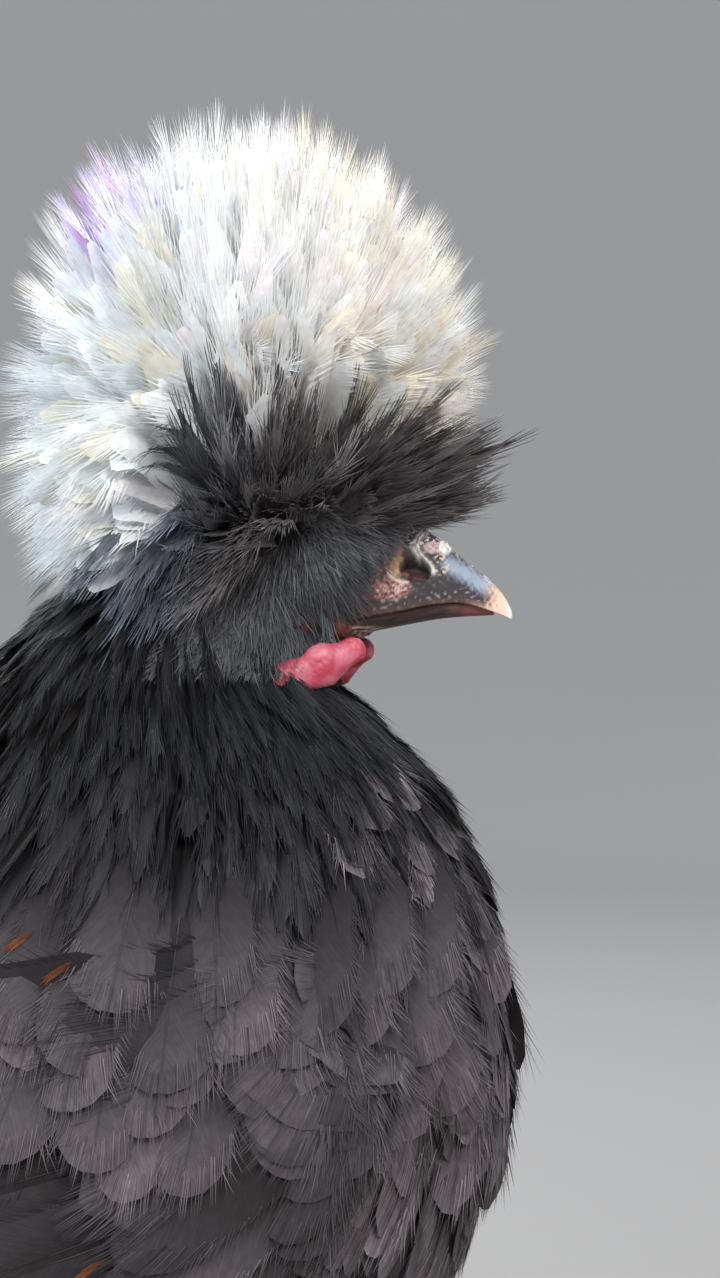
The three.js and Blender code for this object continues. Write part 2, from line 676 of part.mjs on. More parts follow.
const COLOURS = {
  white: { color: 0xe9e7e2, roughness: 0.85 },
  black: { color: 0x1d1c1f, roughness: 0.8 },
  skin: { color: 0x6a3638, roughness: 0.7 },
  red: { color: 0xb8354a, roughness: 0.45 },
  lobe: { color: 0xd9cfc6, roughness: 0.6 },
  horn: { color: 0x3a3539, roughness: 0.4 },
  eye: { color: 0x7a2f16, roughness: 0.08 },
  slate: { color: 0x4a5058, roughness: 0.6 },
  claw: { color: 0x8d8781, roughness: 0.45 },
};

const hen = new THREE.Group();
const headGroup = new THREE.Group();
headGroup.position.set(HEAD_PLACE.x, 0, HEAD_PLACE.z);
headGroup.rotation.z = rad(HEAD_YAW);
hen.add(headGroup);
hen.updateMatrixWorld(true);

function place(group, name, finish, solid) {
  const m = largest(solid.transform(group.matrixWorld.clone().invert().toArray())).getMesh();
  const g = new THREE.BufferGeometry();
  g.setAttribute("position", new THREE.BufferAttribute(m.vertProperties, 3));
  g.setIndex(new THREE.BufferAttribute(m.triVerts, 1));
  const mesh = new THREE.Mesh(g, new THREE.MeshStandardMaterial({ metalness: 0, ...COLOURS[finish] }));
  mesh.name = name;
  group.add(mesh);
}

const onHead = (solid) => solid.transform(headGroup.matrixWorld.toArray());
const without = (solid, ...others) => others.reduce((s, o) => s.subtract(o), solid);
const SIDES = [["right", -1], ["left", 1]];

const eyesGrown = SIDES.map(([, side]) => onHead(eyeBall(side, GAP)));
const skullGrown = onHead(skull(GAP));
const bodyGrown = wholeBody(GAP);
const upper = without(onHead(upperBeak()), skullGrown);
const upperGrown = onHead(upperBeak(GAP));
const lower = without(onHead(lowerBeak()), skullGrown, upperGrown);
const lowerGrown = onHead(lowerBeak(GAP));

const headSolid = skull().add(lids(-1)).add(lids(1)).subtract(mouthLine(-1)).subtract(mouthLine(1));
place(headGroup, "head", "skin", without(onHead(headSolid), ...eyesGrown));
const lidsGrown = SIDES.map(([, side]) => onHead(lidBulge(side, GAP)));
const rims = SIDES.map(([, side]) => onHead(nostrilRim(side)));
const openings = SIDES.map(([, side]) => onHead(nostril(side)));
place(headGroup, "beak_upper", "horn", without(joined([upper, ...rims]), skullGrown, ...openings));
place(headGroup, "beak_lower", "horn", lower);
const facesGrown = [skullGrown, upperGrown, lowerGrown, bodyGrown];
for (const [word, side] of SIDES) {
  place(headGroup, "eye_" + word, "eye", onHead(eyeBall(side)));
  place(headGroup, "wattle_" + word, "red", without(onHead(wattle(side)), ...facesGrown));
  place(headGroup, "earlobe_" + word, "lobe", without(onHead(earLobe(side)), skullGrown, bodyGrown));
}
const soft = SIDES.flatMap(([, side]) => [onHead(earLobe(side, GAP)), onHead(wattle(side, GAP))]);
place(headGroup, "crest_white", "white", without(onHead(whiteCrest()), skullGrown, bodyGrown));
const blackClear = [...facesGrown, onHead(whiteCrest(GAP)), ...lidsGrown, ...soft];
place(headGroup, "crest_black", "black", without(onHead(blackCrest()), ...blackClear));
place(hen, "neck", "black", without(wholeBody().subtract(neckPlane(GAP / 2)), skullGrown));
place(hen, "torso", "black", wholeBody().intersect(neckPlane(-GAP / 2)));
place(hen, "tail", "black", without(tail(), bodyGrown));

const floor = halfSpace(vec(0, 0, 0), vec(0, 0, 1));
for (const [word, side] of SIDES) {
  place(hen, "wing_" + word, "black", without(wing(side), bodyGrown));
  place(hen, "thigh_" + word, "black", without(thigh(side), bodyGrown));
  place(hen, "shank_" + word, "slate", without(shank(side), thigh(side, GAP), floor));
  const boneGrown = shank(side, GAP);
  for (const toe of TOES) {
    const earlier = TOES.slice(0, TOES.indexOf(toe)).map((other) => toeSolid(other, side, GAP));
    const clear = [toeSolid(toe, side, GAP), floor];
    const solid = without(toeSolid(toe, side), boneGrown, floor, ...earlier);
    place(hen, "toe_" + toe.name + "_" + word, "slate", solid);
    place(hen, "claw_" + toe.name + "_" + word, "claw", without(clawSolid(toe, side), ...clear));
  }
}

// The hen's own frame: its origin lies on the floor under the middle of its bounding box.
const box = new THREE.Box3().setFromObject(hen, true);
const root = new THREE.Group();
hen.position.set(-(box.min.x + box.max.x) / 2, -(box.min.y + box.max.y) / 2, 0);
root.add(hen);

export default root;
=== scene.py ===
"""A white-crested black Polish hen, life size, standing with its head up and turned a little to its
right.

Every shape is worked out in millimetres in the maker's own frame: the toes rest on z = 0, the beak
points along +X and the hen's right side faces -Y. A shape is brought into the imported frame, in metres,
as it becomes a mesh."""
import bpy
import numpy as np
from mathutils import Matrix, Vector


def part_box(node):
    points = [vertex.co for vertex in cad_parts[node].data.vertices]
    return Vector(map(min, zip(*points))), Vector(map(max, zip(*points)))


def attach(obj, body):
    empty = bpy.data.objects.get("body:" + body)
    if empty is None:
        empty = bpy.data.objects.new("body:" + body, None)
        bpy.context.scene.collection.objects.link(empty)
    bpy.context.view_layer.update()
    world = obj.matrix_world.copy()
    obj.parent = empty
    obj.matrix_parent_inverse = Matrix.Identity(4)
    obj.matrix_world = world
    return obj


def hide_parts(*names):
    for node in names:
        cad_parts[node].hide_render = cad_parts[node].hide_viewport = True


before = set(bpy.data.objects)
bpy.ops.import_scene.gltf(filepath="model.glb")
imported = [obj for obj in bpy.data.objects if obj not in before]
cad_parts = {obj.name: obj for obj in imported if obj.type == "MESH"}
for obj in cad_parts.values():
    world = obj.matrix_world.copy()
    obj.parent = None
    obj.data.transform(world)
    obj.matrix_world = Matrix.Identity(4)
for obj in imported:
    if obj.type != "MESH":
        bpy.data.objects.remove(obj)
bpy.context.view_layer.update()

MM = 0.001
TURN = 2 * np.pi
SIDES = (("right", -1), ("left", 1))

# Driving dimensions
HEAD = np.array((8.0, 0.0, 322.0))  # middle of the skull
HEAD_YAW = np.radians(-8)
EYE = {"x": 7.0, "y": 9.6, "z": 1.0, "r": 6.2}
CREST = {"middle": np.array((-10.5, 0.0, 46.0)), "reach": 57.5, "narrow": 0.948}
CROWN = {"middle": np.array((-6.0, 0.0, 10.0)), "long": 15.0, "wide": 13.0, "high": 13.0}
BASE_MIDDLE = np.array((-6.0, 0.0, 14.0))
NARROW = np.array((1, CREST["narrow"], 1))

# The photograph's frame: its height in pixels, and what one pixel spans at the head
PHOTO_HIGH = 1278
PIXEL = 0.22
VIEW_MIDDLE = np.array((23.1, 0.0, 305.3))
VIEW_AWAY = 480.0


def unit(v):
    """Vectors scaled to a length of 1."""
    return v / np.maximum(np.linalg.norm(v, axis=-1, keepdims=True), 1e-9)


def lerp(a, b, t):
    """The value that lies share t of the way from a to b."""
    return a + (b - a) * t


def turns(count):
    """Even steps of a whole turn."""
    return np.arange(count) / count * TURN


def hill(x, middle, width):
    """A bell curve: 1 at the middle and 1/e at the width to either side."""
    return np.exp(-(((x - middle) / width) ** 2))


def smooth(a, b, x):
    """0 up to a, 1 from b, and a smooth step between them."""
    t = np.clip((x - a) / (b - a), 0, 1)
    return t * t * (3 - 2 * t)


def turned(points, angle):
    """Points turned about the upright axis."""
    c, s = np.cos(angle), np.sin(angle)
    x, y, z = points[..., 0], points[..., 1], points[..., 2]
    return np.stack((c * x - s * y, s * x + c * y, z), -1)


def on_head(points):
    """From the head's own frame, whose origin is the middle of the skull, to the maker's frame."""
    return turned(points, HEAD_YAW) + HEAD


def direction(fall, turn):
    """A unit vector that leans fall from straight up, towards turn, measured from +X to +Y."""
    return np.stack((np.sin(fall) * np.cos(turn), np.sin(fall) * np.sin(turn), np.cos(fall) + 0 * turn), -1)


def rows_at(rows, r):
    """A smooth curve through rows of numbers, at r counted in rows."""
    rows = np.asarray(rows, float)
    last = len(rows) - 1
    at = np.clip(r, 0, last)
    i = np.minimum(np.floor(at).astype(int), last - 1)
    t = (at - i)[..., None]
    a, b, c, d = (rows[np.clip(i + k, 0, last)] for k in (-1, 0, 1, 2))
    curve = 2 * a - 5 * b + 4 * c - d
    bend = 3 * b - a - 3 * c + d
    return 0.5 * (2 * b + (c - a) * t + curve * t**2 + bend * t**3)


def wobble(points, size, seed, octaves=2):
    """Smooth noise of about -1 to 1: sines along random directions, each octave half as large and half
    as long."""
    draw = np.random.default_rng(seed)
    total = 0
    for octave in range(octaves):
        ways = unit(draw.normal(size=(6, 3)))
        waves = np.sin(points @ ways.T * (TURN * 2**octave / size) + draw.uniform(0, TURN, 6))
        total = total + waves.mean(-1) * 1.6 * 0.5**octave
    return total


def spot(x, z, middle, size):
    """1 in the middle of an oval spot in side view, and falling smoothly to 0 round its outline."""
    off = np.hypot((x - middle[0]) / size[0], (z - middle[1]) / size[1])
    return smooth(1.25, 0.75, off)


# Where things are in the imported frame: the eyes tell how far the maker's frame has moved
def node_middle(name):
    """The middle of a node's box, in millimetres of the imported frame."""
    low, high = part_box(name)
    return (np.array(low) + np.array(high)) / 2 / MM


EYES_MIDDLE = (node_middle("eye_right") + node_middle("eye_left")) / 2
SHIFT = EYES_MIDDLE - on_head(np.array((EYE["x"], 0, EYE["z"])))


class Stock:
    """What a piece is made of as it grows: vertices, faces, their paint, their place on the feather
    and their patch."""

    def __init__(self):
        self.points, self.faces, self.paint, self.vane, self.patch = [], [], [], [], []
        self.count = 0
        self.coat = False

    def add(self, points, faces, paint, vane=None, patch=None):
        """Adds points and their faces, whose numbers count from the first of these points."""
        points = points.reshape(-1, 3)
        n = len(points)
        self.points.append(points)
        self.faces.extend(f.reshape(-1, f.shape[-1]) + self.count for f in faces)
        paint = np.asarray(paint, float)
        self.paint.append(paint.reshape(-1, 3) if paint.ndim > 1 else np.broadcast_to(paint, points.shape))
        self.vane.append(np.zeros((n, 2)) if vane is None else vane.reshape(-1, 2))
        self.patch.append(np.zeros((n, 2)) if patch is None else patch.reshape(-1, 2))
        self.count += n
        self.coat |= patch is not None


def placed(name, data):
    """An object of that data in the scene, at the origin."""
    made = bpy.data.objects.new(name, data)
    bpy.context.scene.collection.objects.link(made)
    return made


def painted(mesh, colours):
    """Keeps a colour for each vertex of a mesh."""
    paint = np.ones((len(colours), 4), np.float32)
    paint[:, :3] = colours
    mesh.attributes.new("paint", "FLOAT_COLOR", "POINT").data.foreach_set("color", paint.ravel())


def piece(name, stock, finish, slot, *nodes):
    """Makes a mesh object of a stock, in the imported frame, that rides on the hen and stands for the
    nodes. A piece of the coat also has its maps, and its barbs, the triangles, are flat."""
    mesh = bpy.data.meshes.new(name)
    points = (np.concatenate(stock.points) + SHIFT) * MM
    corners = np.concatenate([f.ravel() for f in stock.faces])
    sizes = np.concatenate([np.full(len(f), f.shape[1]) for f in stock.faces])
    mesh.vertices.add(len(points))
    mesh.vertices.foreach_set("co", points.astype(np.float32).ravel())
    mesh.loops.add(len(corners))
    mesh.loops.foreach_set("vertex_index", corners.astype(np.int32))
    mesh.polygons.add(len(sizes))
    mesh.polygons.foreach_set("loop_start", (np.cumsum(sizes) - sizes).astype(np.int32))
    mesh.update(calc_edges=True)
    mesh.shade_smooth()
    if stock.coat:
        mesh.attributes.new("sharp_face", "BOOLEAN", "FACE").data.foreach_set("value", sizes == 3)
    painted(mesh, np.concatenate(stock.paint))
    maps = [("Vane", stock.vane), ("OFBake", stock.patch)] if stock.coat else []
    for map_name, values in maps:
        at_corners = np.concatenate(values)[corners].astype(np.float32)
        mesh.uv_layers.new(name=map_name).data.foreach_set("uv", at_corners.ravel())
    mesh.materials.append(finish)
    made = placed(name, mesh)
    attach(made, "root")
    if nodes:
        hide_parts(*nodes)


def grid_faces(rows, columns, wrap=False):
    """Quads of a grid of points whose faces look up where rows run ahead and columns to the right."""
    i, j = np.meshgrid(np.arange(rows - 1), np.arange(columns if wrap else columns - 1), indexing="ij")
    k = (j + 1) % columns
    return np.stack((i * columns + j, i * columns + k, (i + 1) * columns + k, (i + 1) * columns + j), -1)


# Feathers

PATCH = 0.003


class Kind:
    """How a sort of feather is built, where nothing else is given for it.

    stops: shares of the shaft where the blade has sections; columns: points across it; core: the
    blade's share of the full width; cup: how far its edges drop, as a share of its half width; comb:
    loose barbs across the tip; fringe: loose barbs along each edge; lean: the barbs' angle to the
    shaft; point: how far back the comb's outer barbs end, as a share of the shaft; skew: how far one
    side of the comb ends before the other; shaft: the bare shaft's width; bend: how far the comb's
    barbs bow out, as a share of their spread; clumps: how many groups the comb's tips draw together
    in; tone: how much a feather's and, by half as much again, a barb's lightness varies."""

    stops, columns, core, cup, thick = (0.02, 0.3, 0.6, 0.8, 0.92), 3, 0.85, 0.25, 0.25
    comb, comb_long, fringe, fringe_long, fringe_first = 9, 8.0, 6, 7.0, 0.25
    barb, lean, point, skew, shaft, bend, clumps, tone = 0.32, 20.0, 0.08, 0.03, 0.0, 0.25, 0, 0.06

    def __init__(self, **given):
        self.__dict__.update(given)


def on_shaft(path, t):
    """The cubic curve of each path's four points at t, run on straight past its end, and its direction
    there."""
    s = np.clip(t, 0, 1)[..., None]
    a, b, c, d = (path[:, None, k] for k in range(4))
    place = a * (1 - s) ** 3 + 3 * b * s * (1 - s) ** 2 + 3 * c * s**2 * (1 - s) + d * s**3
    ahead = (b - a) * (1 - s) ** 2 + 2 * (c - b) * s * (1 - s) + (d - c) * s**2
    return place + 3 * ahead * (t[..., None] - s), unit(ahead)


def shaft_frame(path, up, t):
    """Place, right-hand side and upper side of each shaft at t."""
    place, ahead = on_shaft(path, t)
    side = unit(np.cross(ahead, up[:, None]))
    return place, side, np.cross(side, ahead)


def blade_width(t):
    """Narrow at the root, full from a third of the way, and rounded from three quarters to the blade's
    end."""
    return (0.3 + 0.7 * smooth(0, 0.35, t)) * np.sqrt(1 - np.clip((t - 0.7) / 0.305, 0, 0.985) ** 2)


def grow(stock, kind, path, up, wide, root_paint, tip_paint, patch, seed):
    """Adds a closed blade and loose barbs for each path.

    The blade is a grid of sections across the shaft, of an upper and a lower sheet that meet at its
    rim. Its edges drop by cup times the square of their share of the half width. A barb is a spike of
    three sides. The comb's barbs run from inside the blade past its end, to an outline that falls back
    by point times the square of their share of the width. The fringe's barbs leave the blade's edges
    at the angle lean."""
    draw = np.random.default_rng(seed)
    n = len(path)
    ruler = on_shaft(path, np.linspace(0, 1, 9) + np.zeros((n, 1)))[0]
    length = np.linalg.norm(np.diff(ruler, axis=1), axis=-1).sum(1)[:, None]
    tone = draw.normal(1, kind.tone, (n, 1, 1))
    end = kind.stops[-1]
    lean = np.radians(kind.lean)

    def colour(t, gain=1.0):
        """The root's paint, and by a smooth step along the shaft the tip's."""
        share = smooth(0.25, 0.95, t)[..., None]
        return np.clip(lerp(root_paint[:, None], tip_paint[:, None], share) * tone * gain, 0, 1)

    def half_at(t):
        """The blade's half width."""
        return wide[:, None] / 2 * kind.core * blade_width(np.clip(t / end, 0, 1))

    # blade
    t = np.array(kind.stops) + np.zeros((n, 1))
    rows, columns = len(kind.stops), kind.columns
    place, side, rise = shaft_frame(path, up, t)
    across = np.linspace(-1, 1, columns)
    lateral = half_at(t)[..., None] * across
    drop = kind.cup * half_at(t)[..., None] * across**2
    upper = place[:, :, None] + side[:, :, None] * lateral[..., None] - rise[:, :, None] * drop[..., None]
    inner = (1 - np.abs(across)) * np.where((t > t[:, :1]) & (t < t[:, -1:]), 1, 0)[..., None] * kind.thick
    lower = upper - rise[:, :, None] * inner[..., None]
    quads = grid_faces(rows, columns)
    each = rows * columns
    base = (np.arange(n) * 2 * each)[:, None, None, None]
    faces = [base + quads[None], base + each + quads[None, ..., ::-1]]
    pattern = ((t * length)[..., None] * np.sin(lean) - np.abs(lateral) * np.cos(lean)) / 10
    vane = np.stack((pattern, lateral / 10), -1)
    spread = np.stack((across / 2 + 0.5 + 0 * lateral, t[..., None] + 0 * lateral), -1) * PATCH
    patches = patch[:, None, None] + spread
    gains = colour(t)[:, :, None] + np.zeros((columns, 1))
    stock.add(np.stack((upper, lower), 1), faces, np.stack((gains, gains), 1),
              np.stack((vane, vane), 1), np.stack((patches, patches), 1))

    def spikes(from_t, from_y, to_t, to_y, lift, bend, thin=1.0):
        """Barbs from one place on the feather to another: t along the shaft and y to its right."""
        p0, side0, rise0 = shaft_frame(path, up, from_t)
        p1, side1, rise1 = shaft_frame(path, up, lerp(from_t, to_t, 0.5))
        p2, side2, rise2 = shaft_frame(path, up, to_t)
        sag = kind.cup * from_y**2 / np.maximum(half_at(from_t), 0.1)
        begin = p0 + side0 * from_y[..., None] - rise0 * (sag - 0.04)[..., None]
        high = (lift * 0.3 - sag)[..., None]
        bulge = p1 + side1 * lerp(from_y, to_y, 0.5 + bend)[..., None] + rise1 * high
        tip = p2 + side2 * to_y[..., None] + rise2 * (lift - sag)[..., None]
        thick = kind.barb / 2 * thin * draw.normal(1, 0.12, from_t.shape)[..., None]
        right = unit(np.cross(tip - begin, rise1)) * thick
        under = rise1 * thick * 0.8
        rings = [(begin, 1.0)]
        if bend:
            rings.append((0.04 * begin + 0.32 * bulge + 0.64 * tip, 0.85))
        points = [c + way for c, k in rings for way in (k * right, -k * right, -k * under)] + [tip]
        m = len(points)
        block = np.stack(points, 2)
        first = (np.arange(block.shape[0] * block.shape[1]) * m).reshape(-1, 1, 1)
        top = m - 4
        close = ((top, m - 1, top + 1), (top + 2, m - 1, top), (top + 1, m - 1, top + 2), (0, 1, 2))
        spike = [first + np.array(close)]
        if bend:
            spike.append(first + np.array(((0, 3, 4, 1), (2, 5, 3, 0), (1, 4, 5, 2))))
        gain = draw.normal(1, 1.5 * kind.tone, from_t.shape)[..., None]
        every = np.zeros((1, 1, m, 1))
        shade = colour(to_t, gain)[:, :, None] + every
        where = np.stack((0.0 * to_y, to_y / 10), -1)[:, :, None] + every
        spread = np.stack((np.clip(to_y / wide[:, None] + 0.5, 0, 1), np.clip(to_t, 0, 1)), -1) * PATCH
        stock.add(block, spike, shade, where, patch[:, None, None] + spread[:, :, None] + every)

    if kind.comb:
        u = np.linspace(-1, 1, kind.comb) + draw.normal(0, 0.35 / kind.comb, (n, kind.comb))
        skew = draw.normal(0, kind.skew, (n, 1))
        to_t = 1 - kind.point * np.abs(u) ** 2.2 + skew * u + draw.normal(0, 0.008, u.shape)
        from_t = to_t - kind.comb_long * draw.normal(1, 0.1, u.shape) / length
        from_y = half_at(from_t) * 0.86 * u
        if kind.clumps:
            share = (u + 1) / 2 * kind.clumps + draw.uniform(0, 1, (n, 1))
            off = share - np.floor(share) - 0.5
            to_t = to_t + 0.035 * (0.5 - 2 * off**2)
            u = u - off * 0.9 / kind.clumps
        to_y = wide[:, None] / 2 * u * draw.normal(1, 0.04, u.shape)
        spikes(from_t, from_y, to_t, to_y, draw.normal(0.15, 0.3, u.shape), kind.bend)
    if kind.fringe:
        s = (np.arange(kind.fringe) + 0.5) / kind.fringe
        s = np.clip(s + draw.normal(0, 0.3 / kind.fringe, (n, 2, kind.fringe)), 0, 1).reshape(n, -1)
        way = np.repeat((-1.0, 1.0), kind.fringe) + 0 * s
        from_t = lerp(kind.fringe_first, end - 0.14, s)
        long = kind.fringe_long * draw.normal(1, 0.15, s.shape)
        out = long * np.sin(lean) * np.abs(draw.normal(0.75, 0.3, s.shape))
        spikes(from_t, way * half_at(from_t) * 0.9, from_t + long / length, way * (half_at(from_t) + out),
               draw.normal(0.1, 0.3, s.shape), 0, 0.9)

    # shaft
    if kind.shaft:
        t = np.linspace(0, 0.9, 5)[None] + np.zeros((n, 1))
        place, side, rise = shaft_frame(path, up, t)
        r = (kind.shaft / 2 * (1.1 - t))[..., None]
        low = rise * 0.03
        ring = np.stack((place + side * r + low, place + rise * r * 1.3, place - side * r + low), 2)
        point = on_shaft(path, np.full((n, 1), 0.96))[0]
        points = np.concatenate((ring.reshape(n, -1, 3), point), 1)
        base = (np.arange(n) * 16)[:, None, None]
        i = np.arange(4)[:, None] * 3
        j = np.arange(3)[None]
        k = (j + 1) % 3
        tubes = np.stack((i + j, i + 3 + j, i + 3 + k, i + k), -1).reshape(-1, 4)
        caps = np.array(((12, 15, 13), (13, 15, 14), (14, 15, 12), (0, 1, 2)))
        shade = np.clip(root_paint * 1.5 + 0.01, 0, 1)[:, None] + np.zeros((1, 16, 1))
        where = np.full((n, 16, 2), 0.5)
        patches = patch[:, None] + np.zeros((1, 16, 1))
        stock.add(points, [base + tubes[None], base + caps[None]], shade, where, patches)


def coat(name, finish, nodes, kind, *grown):
    """A piece of the coat that is grown all of one kind."""
    stock = Stock()
    grow(stock, kind, *grown)
    piece(name, stock, finish, "black_feather", *nodes)


# Finishes

def nodes_of(name):
    """A new finish, its nodes and its main shader."""
    finish = bpy.data.materials.new(name)
    finish.use_nodes = True
    tree = finish.node_tree
    return finish, tree, tree.nodes["Principled BSDF"]


def link(tree, a, b):
    """Joins one node's outlet to another's inlet."""
    tree.links.new(a, b)


def calc(tree, operation, *values):
    """A Math node of sockets and numbers."""
    node = tree.nodes.new("ShaderNodeMath")
    node.operation = operation
    for socket, value in zip(node.inputs, values):
        if isinstance(value, (int, float)):
            socket.default_value = value
        else:
            link(tree, value, socket)
    return node.outputs[0]


def paint_node(tree):
    """The colour painted on each vertex."""
    node = tree.nodes.new("ShaderNodeAttribute")
    node.attribute_name = "paint"
    return node.outputs["Color"]


def times(tree, colour, amount):
    """A colour made lighter or darker by a number's socket."""
    node = tree.nodes.new("ShaderNodeVectorMath")
    node.operation = "SCALE"
    link(tree, colour, node.inputs[0])
    link(tree, amount, node.inputs["Scale"])
    return node.outputs[0]


def scaled(tree, value, factor, offset):
    """A number's socket times a factor, plus an offset."""
    return calc(tree, "ADD", calc(tree, "MULTIPLY", value, factor), offset)


def noise_node(tree, scale, detail=3.0):
    """Smooth noise of 0 to 1 through the piece's own space, that many waves to the metre."""
    where = tree.nodes.new("ShaderNodeTexCoord")
    node = tree.nodes.new("ShaderNodeTexNoise")
    node.inputs["Scale"].default_value = scale
    node.inputs["Detail"].default_value = detail
    link(tree, where.outputs["Object"], node.inputs["Vector"])
    return node.outputs[0]


def bump_node(tree, height, strength, distance, shader):
    """Raises a finish by a number's socket times the distance, in metres."""
    node = tree.nodes.new("ShaderNodeBump")
    node.inputs["Strength"].default_value = strength
    node.inputs["Distance"].default_value = distance
    link(tree, height, node.inputs["Height"])
    link(tree, node.outputs[0], shader.inputs["Normal"])


def feather_finish(name, roughness, sheen, through, lines, ridges, specular, shaft):
    """Plumage: the painted colour with streaks along its barbs, darker by shaft along the shaft and
    lighter towards the edges, with sheen, and some light let through. The streaks are noise
    stretched along the barbs."""
    finish, tree, shader = nodes_of(name)
    place = tree.nodes.new("ShaderNodeUVMap")
    place.uv_map = "Vane"
    split = tree.nodes.new("ShaderNodeSeparateXYZ")
    link(tree, place.outputs[0], split.inputs[0])
    stretch = tree.nodes.new("ShaderNodeVectorMath")
    stretch.operation = "MULTIPLY"
    stretch.inputs[1].default_value = (26.0, 3.0, 1.0)
    link(tree, place.outputs[0], stretch.inputs[0])
    streaks = tree.nodes.new("ShaderNodeTexNoise")
    streaks.inputs["Scale"].default_value = 1.0
    streaks.inputs["Detail"].default_value = 3.0
    link(tree, stretch.outputs[0], streaks.inputs["Vector"])
    streak = streaks.outputs[0]
    off = calc(tree, "ABSOLUTE", split.outputs[1])
    line = calc(tree, "MINIMUM", scaled(tree, off, 7.0, 1.0 - shaft), 1.0)
    edge = scaled(tree, off, 0.8 * shaft, 1.0)
    mottle = scaled(tree, noise_node(tree, 520.0), 0.3 + shaft, 0.85 - shaft / 2)
    gain = calc(tree, "MULTIPLY", calc(tree, "MULTIPLY", line, edge), mottle)
    gain = calc(tree, "MULTIPLY", gain, scaled(tree, streak, lines, 1.0 - lines / 2))
    colour = times(tree, paint_node(tree), gain)
    link(tree, colour, shader.inputs["Base Color"])
    shader.inputs["Roughness"].default_value = roughness
    shader.inputs["Specular IOR Level"].default_value = specular
    shader.inputs["Sheen Weight"].default_value = sheen
    shader.inputs["Sheen Roughness"].default_value = 0.4
    bump_node(tree, streak, ridges, 0.00015, shader)
    if through:
        thin = tree.nodes.new("ShaderNodeBsdfTranslucent")
        link(tree, colour, thin.inputs["Color"])
        mixed = tree.nodes.new("ShaderNodeMixShader")
        mixed.inputs[0].default_value = through
        link(tree, shader.outputs[0], mixed.inputs[1])
        link(tree, thin.outputs[0], mixed.inputs[2])
        link(tree, mixed.outputs[0], tree.nodes["Material Output"].inputs["Surface"])
    return finish


WHITE_PLUMAGE = feather_finish("white_plumage", 0.55, 0.4, 0.42, 0.16, 0.5, 0.3, 0.0)
DARK_PLUMAGE = feather_finish("dark_plumage", 0.5, 0.05, 0.0, 0.5, 0.6, 0.18, 0.3)
SOFT_PLUMAGE = feather_finish("soft_plumage", 0.75, 0.08, 0.0, 0.9, 0.6, 0.15, 0.35)


def skin_finish(name, roughness, grain, depth, specular=0.4, coat=0.0, soft=0.0):
    """Skin, horn or scale: the painted colour mottled by noise, with a fine grain of bumps."""
    finish, tree, shader = nodes_of(name)
    gain = scaled(tree, noise_node(tree, 260.0, 4.0), 0.6, 0.7)
    link(tree, times(tree, paint_node(tree), gain), shader.inputs["Base Color"])
    shader.inputs["Roughness"].default_value = roughness
    shader.inputs["Specular IOR Level"].default_value = specular
    shader.inputs["Coat Weight"].default_value = coat
    shader.inputs["Coat Roughness"].default_value = 0.15
    if soft:
        shader.inputs["Subsurface Weight"].default_value = soft
        shader.inputs["Subsurface Radius"].default_value = (1.0, 0.25, 0.15)
        shader.inputs["Subsurface Scale"].default_value = 0.002
    bump_node(tree, noise_node(tree, grain, 4.0), 0.5, depth, shader)
    return finish


SKIN = skin_finish("bird_skin", 0.55, 1500.0, 0.0002, soft=0.15)
WATTLE_SKIN = skin_finish("wattle_skin", 0.48, 1800.0, 0.00012, 0.35, 0.04, 0.25)
LOBE_SKIN = skin_finish("earlobe_skin", 0.5, 1600.0, 0.00015, soft=0.2)
HORN = skin_finish("beak_horn", 0.6, 1300.0, 0.00025, 0.25)
SCALES = skin_finish("slate_scales", 0.42, 1400.0, 0.00008, 0.45)
CLAW_HORN = skin_finish("claw_horn", 0.38, 900.0, 0.00008, 0.5)
EYE_GLOSS = skin_finish("wet_eye", 0.06, 100.0, 0.0, 0.6, 1.0)


def lay(surface, u, v, du, dv, depth, lift, draw, ruffle=0.25):
    """Paths of feathers that root at depth under a surface and come out along it, and their upper sides.

    surface(u, v, height) gives points. The four points of each path lie at the start, 0.3, 0.66 and
    the whole of the step (du, dv), and rise from -depth to lift."""
    shares = ((0.0, -1.0), (0.3, 0.1), (0.66, 0.75), (1.0, 1.0))  # of the step, and of the depth or lift
    path = np.stack([surface(u + k * du, v + k * dv, (depth if h < 0 else lift) * h) for k, h in shares], 1)
    middle_u, middle_v = u + 0.6 * du, v + 0.6 * dv
    here = surface(middle_u, middle_v, 0 * lift)
    up = unit(surface(middle_u, middle_v, 0 * lift + 2) - here)
    chord = unit(path[:, 3] - path[:, 0])
    side = np.cross(chord, up)
    roll = draw.normal(0, ruffle, len(u))[:, None]
    return path, unit(up * np.cos(roll) + side * np.sin(roll))


# Trunk and neck

# The body's outline with its plumage, from rump to throat: where each section meets the front or belly
# line and the back line, as x and z, and its half width
BODY_ROWS = np.array([
    (-176, 186, -178, 212, 12),
    (-163, 152, -170, 229, 34),
    (-136, 128, -151, 236, 53),
    (-100, 113, -122, 243, 65),
    (-60, 107, -98, 250, 70),
    (-20, 115, -82, 257, 69),
    (15, 136, -74, 264, 65),
    (40, 165, -69, 271, 59),
    (54, 197, -66, 278, 52),
    (55, 228, -63, 285, 44),
    (50, 251, -60, 292, 38),
    (40, 272, -56, 300, 31),
    (25, 289, -49, 309, 24),
    (13, 300, -39, 318, 19),
    (4, 308, -26, 325, 14),
], float)
BODY_LAST = len(BODY_ROWS) - 1
BODY_POWER = 2.15


